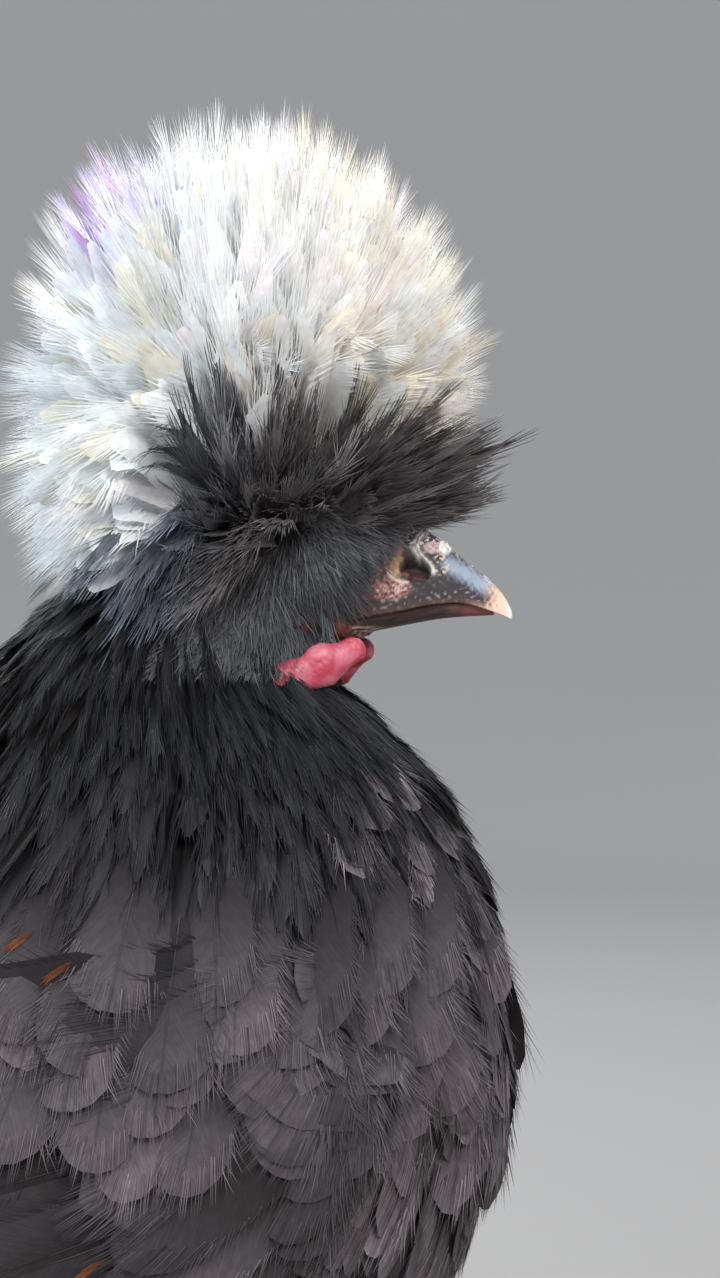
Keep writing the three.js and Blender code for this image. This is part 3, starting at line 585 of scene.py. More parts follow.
def body_point(r, angle, height=0.0):
    """The plumage's surface, a superellipse at each section: angle 0 is the belly and front line, half
    a turn the back."""
    fx, fz, bx, bz, half = np.moveaxis(rows_at(BODY_ROWS, r), -1, 0)
    reach = np.hypot(fx - bx, fz - bz) / 2
    c, s = np.cos(angle), np.sin(angle)
    c = np.sign(c) * np.abs(c) ** (2 / BODY_POWER)
    s = np.sign(s) * np.abs(s) ** (2 / BODY_POWER)
    k = c * (reach + height) / reach
    x, z = (fx + bx) / 2 + (fx - bx) / 2 * k, (fz + bz) / 2 + (fz - bz) / 2 * k
    return np.stack((x, s * (half + height), z), -1)


def scattered(step, first, last, columns, seed):
    """Places on the body for feathers: columns of even turns, stepped by arc length, thinned where
    they crowd."""
    draw = np.random.default_rng(seed)
    golden = 0.61803
    found_r, found_a = [], []
    r = np.linspace(last, first, 300)
    for k in range(columns):
        angle = TURN * (k + 0.5) / columns
        line = body_point(r, angle + 0 * r)
        run = np.concatenate(((0,), np.cumsum(np.linalg.norm(np.diff(line, axis=0), axis=1))))
        marks = np.arange(draw.uniform(0, 1) * step, run[-1], step)
        found_r.append(np.interp(marks, run, r))
        found_a.append(np.full(len(marks), angle))
    r, a = np.concatenate(found_r), np.concatenate(found_a)
    near = np.linalg.norm(body_point(r, a + 0.01) - body_point(r, a - 0.01), axis=-1) / 0.02
    most = near.max()
    keep = (np.arange(len(r)) * golden) % 1 < np.clip(near / most * 1.15, 0.12, 1)
    r, a = r[keep], a[keep]
    return r + draw.normal(0, 0.05, len(r)), a + draw.normal(0, 0.25 / columns, len(a)) * TURN


def arc_step(r, a, length):
    """How many rows a feather of that length covers from r down the body."""
    above = np.minimum(r, BODY_LAST)
    return -length / (np.linalg.norm(body_point(above, a) - body_point(above - 0.1, a), axis=-1) / 0.1)


HACKLE = Kind(core=0.72, cup=0.3, comb=8, comb_long=10.0, fringe=7, fringe_long=8.0, barb=0.27, lean=14.0,
              point=0.3)
CONTOUR = Kind(stops=(0.02, 0.35, 0.62, 0.80, 0.90), core=0.84, cup=0.3, comb=20, comb_long=10.5, fringe=9,
               fringe_long=7.0, fringe_first=0.3, barb=0.31, lean=30.0, point=0.26, skew=0.04, bend=0.0,
               clumps=5, tone=0.2)
CAPE = Kind(stops=(0.02, 0.3, 0.55, 0.70, 0.80, 0.87, 0.91), columns=5, core=0.93, cup=0.3, thick=0.3,
            comb=44, comb_long=9.0, fringe=30, fringe_long=5.0, fringe_first=0.3, barb=0.27, lean=34.0,
            point=0.2, skew=0.04, shaft=0.3, bend=0.0, clumps=7, tone=0.16)
DARK = np.array((0.0080, 0.0080, 0.0100))
CHARCOAL = np.array((0.045, 0.038, 0.042))
RUST = np.array((0.20, 0.060, 0.022))


def body_coat():
    """Hackles fan down the neck, dark above and greyer below, and broad soft feathers cover the trunk."""
    draw = np.random.default_rng(31)
    r, a = scattered(4.6, 8.0, 14.0, 104, 32)
    fore = smooth(0.25, 0.6, np.cos(a))
    keep = r > lerp(8.0, 10.9, fore) + draw.normal(0, 0.25, len(r))
    r, a = r[keep], a[keep]
    n = len(r)
    low = smooth(11.8, 8.3, r)
    throat = smooth(11.6, 12.8, r) * smooth(-0.1, 0.5, np.cos(a))
    length = lerp(21, 33, low) * draw.normal(1, 0.1, n) * (1 - 0.35 * throat)
    wide = lerp(3.6, 7.0, low) * draw.normal(1, 0.12, n)
    dr = arc_step(r, a, length)
    lift = draw.normal(1.8, 1.3, n) * (1 - 0.7 * throat)
    path, up = lay(body_point, r, a, dr, draw.normal(0, 0.035, n), 5, lift, draw, 0.45)
    front = smooth(-0.3, 0.9, np.cos(a))[:, None]
    tone = lerp(DARK, CHARCOAL * 0.8, low[:, None] * lerp(0.3, 1.0, front)) * draw.normal(1, 0.15, (n, 1))
    # Painted sheen: a random few hackles get tips up to twice as light, less so lower down the neck,
    # standing in for bright sheen streaks
    painted_sheen = draw.choice((1.0, 2.0), n, p=(0.86, 0.14))[:, None] ** (1 - 0.7 * low[:, None])
    patch = patch_at("neck", a / TURN, r / 14)
    for word, chosen in halves(np.sin(a)):
        grown = (v[chosen] for v in (path, up, wide, tone * 0.4, tone * 0.8 * painted_sheen, patch))
        coat("neck_hackles_" + word, DARK_PLUMAGE, (), HACKLE, *grown, 33)

    r, a = scattered(7.4, 0.4, 11.8, 84, 34)
    fore = smooth(0.25, 0.6, np.cos(a))
    dense = smooth(12, 8, r) * 0.15 + lerp(0.72, 0.9, fore)
    keep = (r < lerp(9.0, 11.8, fore)) & (draw.uniform(0, 1, len(r)) < dense)
    r, a = r[keep], a[keep]
    n = len(r)
    length = lerp(34, 22, smooth(6, 11.5, r)) * draw.normal(1, 0.1, n)
    wide = lerp(18.5, 10.0, smooth(5, 11.5, r)) * draw.normal(1, 0.1, n)
    dr = arc_step(r, a, length)
    lift = draw.normal(2.2, 1.3, n) + fore[keep] * draw.normal(0.5, 1.6, n)
    lift = np.clip(lift, -1.0, lerp(4.5, 2.6, fore[keep]))
    path, up = lay(body_point, r, a, dr, draw.normal(0, 0.05, n), 7, lift, draw, 0.3)
    breast = smooth(-0.2, 0.7, np.cos(a)) * smooth(3.0, 5.5, r)
    tone = CHARCOAL * lerp(0.45, 1.4, breast)[:, None] * np.clip(draw.normal(1, 0.3, (n, 1)), 0.4, 1.35)
    patch = patch_at("trunk", a / TURN, r / 14)
    for word, chosen in halves(np.sin(a)):
        grown = (v[chosen] for v in (path, up, wide, tone * 0.3, tone * 1.35, patch))
        coat("body_feathers_" + word, SOFT_PLUMAGE, (), CONTOUR, *grown, 35)


def halves(y):
    """The hen's right and left half, each with the places whose y lies on it."""
    return (("right", y < 0), ("left", y >= 0))


# The unwrap of the skin's own shape: each region is a rectangle of the map, with its low corner and its
# size
REGIONS = {
    "crest": (0.02, 0.52, 0.46, 0.46),
    "base": (0.52, 0.52, 0.46, 0.22),
    "face": (0.52, 0.76, 0.46, 0.22),
    "neck": (0.02, 0.27, 0.46, 0.23),
    "trunk": (0.02, 0.02, 0.46, 0.23),
    "wing_right": (0.52, 0.27, 0.22, 0.22),
    "wing_left": (0.76, 0.27, 0.22, 0.22),
    "tail": (0.52, 0.02, 0.22, 0.23),
    "legs": (0.76, 0.02, 0.22, 0.23),
}


def patch_at(region, a, b):
    """The map's place of a root at shares a and b of its region."""
    left, low, wide, high = REGIONS[region]
    return np.stack((left + wide * np.clip(a % 1.0, 0, 1), low + high * np.clip(b, 0, 1)), -1)


# Crest

def away_from_front(turn):
    """Degrees from straight ahead, to either side."""
    return np.degrees(np.abs((turn + np.pi) % TURN - np.pi))


# How far down the white feathers reach, in degrees from straight up, by degrees away from straight ahead:
# least over the cheeks, a little lower over the brow, and far down over the nape
WHITE_AWAY = (0, 50, 66, 78, 90, 100, 116, 180)
WHITE_EDGE = (107, 107, 106, 98, 88, 93, 126, 138)
WHITE_PLUMES, LOWEST_PLUME = 1180, 138
GOLDEN_TURN = 2.39996  # spreads the plumes evenly over the ball


def crown_root(fall, turn):
    """A root 1 mm under the crown's egg, at fall from straight up and turn from straight ahead."""
    size = np.array((CROWN["long"], CROWN["wide"], CROWN["high"])) - 1
    return CROWN["middle"] + direction(fall, turn) * size


PLUME = Kind(stops=(0.04, 0.25, 0.5, 0.72, 0.86), core=0.93, cup=0.22, comb=21, comb_long=9.0, fringe=5,
             fringe_long=8.0, barb=0.25, lean=16.0, point=0.1, skew=0.035, bend=0.0, tone=0.03)
VEIL = Kind(stops=(0.04, 0.25, 0.5, 0.7, 0.84, 0.93), core=0.97, cup=0.2, comb=13, comb_long=9.0, fringe=4,
            fringe_long=9.0, barb=0.34, lean=12.0, point=0.11, skew=0.03, bend=0.0, tone=0.015)
# Where the plumes seem to spring from, seen from the side
FOUNTAIN = np.array((-3.0, 0.0, 12.0))


def white_crest():
    """White plumes from the crown: their tips lie on a ball that sags over the nape. Each lies along
    the ball and ends away from the fountain's middle, so that the side shows its whole face. Over
    the brow and the cheeks the lowest hang forward, and behind they droop. Neighbours lean alike,
    and a few at the back of the top are dyed lilac."""
    draw = np.random.default_rng(11)
    k = np.arange(WHITE_PLUMES)
    low = 1 - np.cos(np.radians(LOWEST_PLUME))
    fall = np.degrees(np.arccos(1 - low * (k + 0.5) / len(k)))
    turn = (k * GOLDEN_TURN + draw.normal(0, 0.05, len(k))) % TURN
    away = away_from_front(turn)
    ragged = 5 * np.sin(turn * 9 + 2 * np.sin(turn * 4))
    keep = fall < np.interp(away, WHITE_AWAY, WHITE_EDGE) + ragged + draw.normal(0, 2.5, len(k))
    fall, turn, away = fall[keep], turn[keep], away[keep]
    n = len(fall)
    layer = draw.choice((0.975, 0.89, 0.80), n, p=(0.36, 0.38, 0.26))
    back = smooth(80, 130, away)
    sag = back * smooth(55, 112, fall)
    where = direction(np.radians(fall), turn)
    brow = smooth(70, 25, away) * np.sin(np.radians(fall) * 2) ** 2
    reach = CREST["reach"] * layer * (1 - 0.045 * draw.uniform(0, 1, n)) * (1 - 0.03 * brow)
    tip = CREST["middle"] + where * reach[:, None] * NARROW
    tip[:, 2] -= 24 * sag
    hang = smooth(72, 98, fall) * (1 - back) * draw.uniform(0.3, 1.2, n)
    curl_in = hill(away, 113, 14) * smooth(92, 112, fall)
    sway = np.stack([wobble(where * CREST["reach"], 30.0, seed) for seed in (14, 15, 16)], -1)
    end = unit((tip - FOUNTAIN) * np.array((1, 0.4, 1))) + 0.17 * sway + draw.normal(0, 0.07, (n, 3))
    end = end + hang[:, None] * np.array((0.25, 0, -1.1)) + sag[:, None] * np.array((-0.1, 0, -1.1))
    end = unit(end + curl_in[:, None] * np.array((0.9, 0, -0.3)))
    root_fall = np.radians(np.clip(fall * 0.8, 0, 94))
    root = crown_root(root_fall, turn + draw.normal(0, 0.12, n))
    length = np.linalg.norm(tip - root, axis=1)[:, None]
    start = unit(direction(root_fall * 1.05, turn) + 0.35 * unit(tip - root))
    outer = np.array((0.0, 1.0, 0.0)) * np.sign(np.sin(turn))[:, None]
    up = unit(direction(np.radians(fall + 40), turn) * 0.7 + outer * 0.8)
    roll = draw.normal(0, 0.38, n)[:, None]
    side = unit(np.cross(end, up))
    up = unit(np.cross(side, end))
    up = up * np.cos(roll) + side * np.sin(roll)
    sweep = unit(np.cross(end, up)) * draw.normal(0, 2.2, n)[:, None]
    path = np.stack((root, root + 0.36 * length * start, tip - 0.42 * length * end, tip + sweep), 1)
    wide = draw.normal(8.6, 0.9, n)
    tints = np.array(((1.0, 1.0, 1.0), (1.0, 0.965, 0.975), (0.965, 0.985, 1.0), (1.0, 0.96, 0.88)))
    white = np.array((0.885, 0.885, 0.878)) * tints[draw.choice(4, n, p=(0.5, 0.15, 0.2, 0.15))]
    # Painted light: some plumes towards the front are warmed to cream, the warm light painted in, and those
    # towards the back are tinted a little blue, the sky-lit shade painted in
    painted_warm_light = smooth(0.2, 0.9, np.cos(turn)) * draw.uniform(0, 1, n) ** 2.5
    painted_sky_blue = smooth(0.1, -0.8, np.cos(turn))
    painted_light_tint = lerp(np.array((1.0, 1.0, 1.0)), np.array((1.0, 0.94, 0.83)), painted_warm_light[:, None])
    painted_light_tint = painted_light_tint * lerp(np.ones(3), np.array((0.955, 0.985, 1.0)), painted_sky_blue[:, None])
    zone = hill(fall, 41, 16) * hill(np.degrees(turn), 207, 32)
    dyed = (zone * draw.choice((1.0, 0.4, 0.05), n, p=(0.25, 0.15, 0.6)))[:, None]
    lilac = np.array((0.58, 0.26, 0.78))
    tip_paint = lerp(white * painted_light_tint, lilac, dyed)
    root_paint = lerp(white * painted_light_tint, lilac * 1.25, 0.4 * dyed)
    patch = patch_at("crest", turn / TURN, fall / 145)
    path, up = on_head(path), turned(up, HEAD_YAW)
    for word, half in halves(np.sin(turn)):
        stock = Stock()
        for kind, chosen in ((PLUME, half & (layer > 0.95)), (VEIL, half & (layer < 0.95))):
            grown = (v[chosen] for v in (path, up, wide, root_paint, tip_paint, patch))
            grow(stock, kind, *grown, 12)
        piece("crest_white_" + word + "_half", stock, WHITE_PLUMAGE, "white_feather", "crest_white")


TUFT = Kind(stops=(0.02, 0.35, 0.65, 0.86), core=0.6, cup=0.3, comb=8, comb_long=11.0, fringe=10,
            fringe_long=9.0, barb=0.26, lean=18.0, point=0.2)
FUZZ = Kind(stops=(0.03, 0.45, 0.85), core=0.6, cup=0.2, comb=6, comb_long=7.0, fringe=5, fringe_long=6.0,
            barb=0.3, lean=24.0, point=0.2, fringe_first=0.1, bend=0.0)
BLACK = np.array((0.064, 0.065, 0.071))
# The dark base, by degrees away from straight ahead: how far above level its highest and its lowest tufts
# point
BASE_AWAY = (0, 50, 62, 75, 90, 100, 108, 120, 180)
BASE_TOP = (16, 22, 28, 38, 47, 24, -4, -26, -22)
BASE_LOW = (0, -3, -16, -36, -50, -56, -60, -64, -62)


def black_crest():
    """The dark base under the white ball: it stands up at the cheeks' top, and streams out over brow,
    cheek and nape. Each ring q, from 0 at the top to 1 at the bottom, takes its share of the way
    from the highest to the lowest rise, and is thinned where the two lie close together."""
    draw = np.random.default_rng(21)
    rows, around = 18, 66
    q = np.repeat((np.arange(rows) + 0.5) / rows, around) + draw.normal(0, 0.02, rows * around)
    q = np.clip(q, 0, 1)
    turn = np.tile(turns(around), rows) + draw.normal(0, 0.07, rows * around)
    away = away_from_front(turn)
    top, low = np.interp(away, BASE_AWAY, BASE_TOP), np.interp(away, BASE_AWAY, BASE_LOW)
    keep = draw.uniform(0, 1, len(q)) < (top - low) / 90 + 0.15
    q, turn, away, top, low = q[keep], turn[keep], away[keep], top[keep], low[keep]
    n = len(q)
    cheek = np.sin(turn) ** 2
    rise = np.radians(lerp(top, low, q) + draw.normal(0, 4, n))
    near = lerp(np.where(away < 90, 50, 52), 40, cheek)
    reach = lerp(60, near, q) * draw.normal(0.95, 0.05, n) * (1 - 0.16 * cheek * hill(q, 0.5, 0.22))
    out = direction(TURN / 4 + 0 * turn, turn)
    tip = BASE_MIDDLE + direction(TURN / 4 - rise, turn) * reach[:, None] * NARROW
    trail = cheek * smooth(0.45, 1.0, q)
    tip[:, 0] -= 17 * trail
    root = crown_root(np.radians(lerp(70, 128, q) * lerp(0.9, 1, cheek)), turn)
    sweep = lerp(np.where(away < 90, 0.2, -0.8), lerp(1.7, -1.5, q), cheek)
    sweep = np.where(away > 104, -0.9, sweep)
    end = unit(out * 0.8 + np.stack((-1.1 * trail, 0 * q, sweep), -1) + draw.normal(0, 0.16, (n, 3)))
    length = np.linalg.norm(tip - root, axis=1)[:, None]
    start = unit(out + 0.3 * unit(tip - root))
    path = np.stack((root, root + 0.4 * length * start, tip - 0.36 * length * end, tip), 1)
    up = unit(np.cross(np.cross(end, out + np.array((0, 0, 0.2))), end) + draw.normal(0, 0.45, (n, 3)))
    wide = draw.normal(4.6, 0.7, n)
    # Painted light: the tufts are warmed towards the front and turned bluish towards the back, the light's
    # warmth and the sky's bluish sheen painted into their colour
    painted_sky_blue = smooth(0.3, -0.5, np.cos(turn))[:, None]
    painted_light_hue = lerp(np.array((1.1, 0.98, 0.9)), np.array((0.92, 1.0, 1.12)), painted_sky_blue)
    dark = BLACK * painted_light_hue * draw.normal(1, 0.15, (n, 1))
    # Painted sheen: a random few tufts get lighter tips, standing in for bright sheen streaks
    painted_sheen = draw.choice((1.0, 2.4), n, p=(0.86, 0.14))[:, None]
    patch = patch_at("base", turn / TURN, q)
    coat("crest_black_base", DARK_PLUMAGE, ("crest_black",), TUFT,
         on_head(path), turned(up, HEAD_YAW), wide, dark, dark * 1.5 * painted_sheen, patch, 22)


def dome(x, z, middle, size, out):
    """How far out a ball's or an egg's surface is at a place in side view, and nothing outside its
    outline."""
    inside = 1 - ((x - middle[0]) / size[0]) ** 2 - ((z - middle[1]) / size[1]) ** 2
    return np.where(inside > 0, out[0] + out[1] * np.sqrt(np.clip(inside, 0, 1)), 0)


def cheek_y(x, z):
    """How far out the side of the head is: the furthest of the skull's oval, the knob, the eye's lids,
    the earlobe and the throat."""
    sz, high, half = (np.interp(x, SKULL_X, np.array(SKULL)[:, k]) for k in (2, 3, 4))
    skull = half * np.sqrt(np.clip(1 - ((z - sz) / high) ** 2, 0, 1))
    knob = dome(x, z, (-5, 15), (14, 12), (0, 12.5))
    eye = dome(x, z, (EYE["x"] + 1, EYE["z"]), (11.8, 10.5), (9.0, 8.4))
    lobe = dome(x, z, (-3.5, -11), (5.0, 5.8), (10.0, 3.8))
    neck = side_y(x + HEAD[0], z + HEAD[2]) * smooth(8, 2, x)
    return np.maximum.reduce([skull, knob, eye, lobe, neck, 7.0 + 0 * skull])


# Where the head's feathers end before the bare skin of the beak's root: how far forward, by height
FACE_HEIGHT = (-24, -17, -11.7, -8.9, -5.8, -4.5, -1.0, 1.1, 3.9, 5.5, 9)
FACE_FRONT = (9, 13, 17.2, 18.6, 19.6, 20.8, 23.0, 24.3, 25.3, 27.2, 29.5)
CHEEK_FEATHERS = 2300  # before those past the face's edge are left out


def cheek_feathers():
    """Short soft feathers over the side of the head. They spread from a whorl above and behind the
    eye, and end where the bare face begins. On the left they part round the eye, and on the right
    they lie over it."""
    for word, side in SIDES:
        draw = np.random.default_rng(41)
        n = CHEEK_FEATHERS
        tip_x, tip_z = 30 - 56 * draw.uniform(0, 1, n) ** 1.25, draw.uniform(-27, 16, n)
        way = unit(np.stack((tip_x + 2, tip_z - 15), -1)) + np.array((0.05, -0.35))
        way = unit(way + draw.normal(0, 0.12, (n, 2))) * draw.normal(11.5, 1.5, n)[:, None]
        keep = tip_x < np.interp(tip_z, FACE_HEIGHT, FACE_FRONT) + draw.normal(0, 0.7, n)
        keep &= (tip_z < 4) | (tip_x > 8)
        if side > 0:
            keep &= np.hypot(tip_x - way[:, 0] * 0.4 - EYE["x"], tip_z - way[:, 1] * 0.4 - EYE["z"]) > 9.5
            keep &= np.hypot(tip_x - EYE["x"], tip_z - EYE["z"]) > 8.0
        bare = spot(tip_x, tip_z, (8, -17), (9, 5.5))
        keep &= draw.uniform(0, 1, n) > 0.85 * bare
        dx, dz = way[keep].T
        x, z = tip_x[keep] - dx, tip_z[keep] - dz

        def surface(u, v, height=0.0):
            """The side of the head, moved out by height."""
            return on_head(np.stack((u, side * (cheek_y(u, v) + height), v), -1))

        n = len(x)
        path, up = lay(surface, x, z, dx, dz, 2, draw.normal(2.4, 0.9, n), draw, 0.5)
        dark = BLACK * draw.normal(1.1, 0.2, (n, 1))
        patch = patch_at("face", 0.25 + 0.5 * (side > 0) + x / 120, 0.5 + z / 80)
        wide = draw.normal(4.0, 0.6, n)
        coat("cheek_feathers_" + word, DARK_PLUMAGE, (), FUZZ,
             path, up, wide, dark * 0.7, dark * 1.2, patch, 42)


# Wings

WING_TOP = ((24, 229), (2, 243), (-50, 246), (-108, 234), (-158, 216), (-196, 199))
WING_BOTTOM = ((24, 222), (12, 186), (-38, 158), (-98, 156), (-152, 171), (-196, 192))
WING_DEPTH = 8.0


def side_y(x, z):
    """How far out the trunk's side is at a place in side view: the section whose line passes there is
    found first."""
    shape = np.shape(x)
    x, z = np.ravel(x), np.ravel(z)
    r = np.linspace(0, BODY_LAST, 400)
    fx, fz, bx, bz, half = rows_at(BODY_ROWS, r).T
    off = (bx - fx) * (z[:, None] - fz) - (bz - fz) * (x[:, None] - fx)
    cross = off[:, :-1] * off[:, 1:] <= 0
    i = np.argmax(cross, axis=1)
    k = np.arange(len(x))
    t = off[k, i] / np.where(off[k, i] == off[k, i + 1], 1, off[k, i] - off[k, i + 1])
    fx, fz, bx, bz, half = (lerp(row[i], row[i + 1], t) for row in (fx, fz, bx, bz, half))
    share = ((x - fx) * (bx - fx) + (z - fz) * (bz - fz)) / ((bx - fx) ** 2 + (bz - fz) ** 2)
    u = np.clip(np.abs(2 * share - 1), 0, 1)
    out = half * (1 - u**BODY_POWER) ** (1 / BODY_POWER)
    return np.where(cross.any(1), out, 0).reshape(shape)


def pad_bulge(s, t):
    """How far out the wing's pad stands at s along it and t down it, as a share of its depth."""
    round_over = np.sin(np.pi * (0.06 + 0.88 * np.clip(t, 0, 1))) ** 0.7
    return round_over * (1 - 0.55 * s) * np.minimum(1, 0.35 + 4 * s)


def on_pad(side):
    """The wing's surface, from shoulder s = 0 to tip s = 1 and from its top t = 0 to its bottom edge t
    = 1: it stands out from the trunk's side, or past the trunk from a straight line, by a bulge of
    its own."""
    def surface(s, t, height=0.0):
        tx, tz = np.moveaxis(rows_at(WING_TOP, s * 5), -1, 0)
        bx, bz = np.moveaxis(rows_at(WING_BOTTOM, s * 5), -1, 0)
        x, z = lerp(tx, bx, t), lerp(tz, bz, t)
        near = side_y(x, z)
        y = lerp(near, np.maximum(near, 30 + 0.3 * (x + 196)), smooth(0.45, 0.8, s))
        return np.stack((x, side * (y + WING_DEPTH * pad_bulge(s, t) + height), z), -1)
    return surface


FLIGHT = Kind(stops=(0.02, 0.2, 0.4, 0.6, 0.78, 0.9, 0.97), columns=5, core=0.97, cup=0.16, thick=0.35,
              comb=22, comb_long=4.0, fringe=22, fringe_long=4.0, fringe_first=0.15, barb=0.5, lean=38.0,
              point=0.14, shaft=1.0)
COVERT = Kind(stops=(0.02, 0.25, 0.5, 0.7, 0.83, 0.92), columns=5, core=0.93, cup=0.2, thick=0.3, comb=22,
              comb_long=5.0, fringe=12, fringe_long=5.0, barb=0.42, lean=38.0, point=0.16, shaft=0.45)
# Each tier of the wing: its feathers, their root and tip along the wing at its top and at its bottom
# edge, where it starts and ends down the wing, how far its feathers hang down, their width, and how their
# height runs
WING_TIERS = (
    (FLIGHT, 9, (0.6, 0.56), (1.0, 0.93), 0.40, 0.97, 0.0, 14, (-2.5, 0.6)),
    (FLIGHT, 13, (0.4, 0.34), (0.9, 0.77), 0.03, 0.98, 0.0, 19, (-3.0, 2.6)),
    (CAPE, 13, (0.26, 0.22), (0.56, 0.5), 0.02, 0.92, 0.06, 19, (-3.0, 3.0)),
    (CAPE, 12, (0.17, 0.14), (0.37, 0.33), 0.0, 0.84, 0.16, 19, (-3.0, 3.4)),
    (CAPE, 12, (0.10, 0.08), (0.24, 0.22), -0.05, 0.76, 0.26, 19, (-3.0, 3.8)),
    (CAPE, 11, (0.045, 0.035), (0.15, 0.14), -0.10, 0.70, 0.33, 19, (-3.0, 4.0)),
    (CAPE, 10, (0.0, 0.0), (0.07, 0.065), -0.12, 0.66, 0.36, 18, (-3.0, 4.0)),
)
# The cape: rows of broad feathers over the wing's top, by the height of their roots, from rump to shoulder
CAPE_ROWS = (238, 247, 256, 264)
CAPE_FROM, CAPE_TO, CAPE_STEP = -128.0, 33.0, 10.5
FLECK = Kind(stops=(0.03, 0.45, 0.85), core=0.5, cup=0.2, comb=7, comb_long=3.0, fringe=9, fringe_long=2.6,
             barb=0.2, lean=12.0, point=0.3, fringe_first=0.1, bend=0.0)
# Rust-coloured flecks in the photograph, in its pixels
RUST_PLACES = ((60, 905), (95, 930), (15, 1112), (45, 1115), (130, 1172))


def from_pixels(places):
    """The maker's x and z of places in the photograph, at the hen's middle plane."""
    places = np.array(places, float)
    return np.stack(((places[:, 0] - 255) * PIXEL, 425 - (places[:, 1] - 95) * PIXEL), -1)


def flank(side):
    """The plumage's side by x and z in side view: the trunk's side, with the wing's bulge where the
    wing lies."""
    line_x, line_top = np.array(WING_TOP[::-1]).T
    low_x, line_low = np.array(WING_BOTTOM[::-1]).T

    def surface(x, z, height=0.0):
        top, low = np.interp(x, line_x, line_top), np.interp(x, low_x, line_low)
        t = np.clip((top - z) / np.maximum(top - low, 5), 0, 1)
        s = np.clip((24 - x) / 220, 0, 1)
        bulge = pad_bulge(s, t) * smooth(18, 0, z - top) * smooth(34, 20, x)
        return np.stack((x, side * (side_y(x, z) + WING_DEPTH * bulge + height), z), -1)
    return surface


def cape_feathers(stock, side, word):
    """Rows of broad soft feathers over the wing's top. They hang straight down at the shoulder, and
    lean back more and more towards the rump."""
    draw = np.random.default_rng(58)
    for order, height in enumerate(CAPE_ROWS):
        x = np.arange(CAPE_FROM, CAPE_TO, CAPE_STEP) + CAPE_STEP * 0.5 * (order % 2)
        n = len(x)
        x = x + draw.normal(0, 1.6, n)
        z = height + draw.normal(0, 1.8, n) - 0.0006 * (x + 20) ** 2
        lean = np.radians(lerp(-8, 52, smooth(20, -95, x)) + draw.normal(0, 7, n))
        length = 37 * draw.normal(1, 0.07, n)
        lift = 5.5 + draw.normal(0, 1.1, n)
        dx, dz = -length * np.sin(lean), -length * np.cos(lean)
        path, up = lay(flank(side), x, z, dx, dz, 3, lift, draw, 0.16)
        tone = CHARCOAL * lerp(0.5, 0.95, smooth(-90, -20, x))[:, None] * draw.normal(1, 0.22, (n, 1))
        patch = patch_at("wing_" + word, 0.1 + 0.8 * (x + 140) / 200, 0.1 + 0 * x + 0.02 * order)
        wide = 19 * draw.normal(1, 0.07, n)
        grow(stock, CAPE, path, up, wide, tone * 0.35, tone * 1.3, patch, 59 + order)
    x, z = from_pixels(RUST_PLACES).T
    path, up = lay(flank(side), x + 3, z + 2, -6, -4, -5, 7.0, draw, 0.1)
    patch = patch_at("wing_" + word, 0.1 + 0.8 * (x + 140) / 200, 0.2 + 0 * x)
    rust = np.tile(RUST, (len(x), 1))
    grow(stock, FLECK, path, up, np.full(len(x), 1.5), rust * 0.3, rust * 0.7, patch, 57)


def wings():
    """Tiers of feathers, from the wing's tip to its shoulder. Down a tier, the shares s of root and tip
    along the wing run evenly from their value at its top edge to that at its bottom edge. The cape
    lies over them."""
    for word, side in SIDES:
        draw = np.random.default_rng(51)
        stock = Stock()
        surface = on_pad(side)
        for order, (kind, count, root, tip, first, last, hang, width, rise) in enumerate(WING_TIERS):
            down = (np.arange(count) + 0.5) / count + draw.normal(0, 0.14 / count, count)
            t = lerp(first, last, down)
            s = lerp(root[0], root[1], down)
            ds = lerp(tip[0], tip[1], down) + draw.normal(0, 0.01, count) - s
            dt = hang + draw.normal(0, 0.02 + 0.1 * hang, count)
            lift = rise[1] + draw.normal(0, 0.7, count)
            path, up = lay(surface, s, t, ds, dt, -rise[0], lift, draw, 0.12)
            wide = width * draw.normal(1, 0.06, count)
            fade = lerp(0.75, 0.4, smooth(0.12, 0.3, s))[:, None]
            grey = CHARCOAL * (0.35 if kind is FLIGHT else fade) * draw.normal(1, 0.22, (count, 1))
            patch = patch_at("wing_" + word, 0.1 + 0.8 * np.clip(s, 0, 1), 0.1 + 0.8 * np.clip(t, 0, 1))
            grow(stock, kind, path, up, wide, grey * 0.35, grey * 1.25, patch, 52 + order)
        cape_feathers(stock, side, word)
        piece("wing_feathers_" + word, stock, SOFT_PLUMAGE, "black_feather", "wing_" + word)


# Tail

TAIL = {"x": -160.0, "z": 230.0, "length": 116.0, "wide": 24.0, "pairs": 8, "top": 57.0, "step": 5.2}
TAIL_TILT, TAIL_SPLAY = np.radians(25.0), np.radians(2.5)
# The rows of coverts over its root: their length and width, how many there are a side, the degrees by
# which the first rises and by which each next one falls behind it, and how far out they lie
TAIL_COVERTS = ((66.0, 20.0, 6, 60, 9, 3.5), (46.0, 17.0, 7, 64, 10, 5.5), (32.0, 14.0, 8, 68, 11, 7.5))


def tail_paths(side, rise, length, drop, out):
    """Feathers that lean back by rise degrees and curl up a little by the square of the share of their
    length. The two sides of the tail lean together like a tent."""
    lean, drop, out = np.radians(rise)[:, None], drop[:, None], out[:, None]
    t = np.array((0.0, 0.33, 0.67, 1.0))
    reach = length[:, None] * t
    curl = 5 * t**2
    level, dip = np.cos(TAIL_TILT), np.sin(TAIL_TILT)
    x = TAIL["x"] - 0.4 * drop - reach * np.cos(lean) - curl * np.sin(lean)
    y = 3.4 + drop * dip + out * level + reach * np.sin(TAIL_SPLAY)
    z = TAIL["z"] - drop + reach * np.sin(lean) + curl * np.cos(lean)
    path = np.stack((x, side * y, z), -1)
    flat = np.concatenate((np.sin(lean) * level, -side * dip + 0 * lean, np.cos(lean) * level), -1)
    up = unit(np.cross(flat, unit(path[:, 3] - path[:, 0])))
    return path, up * np.sign(up[:, 1:2] * side)


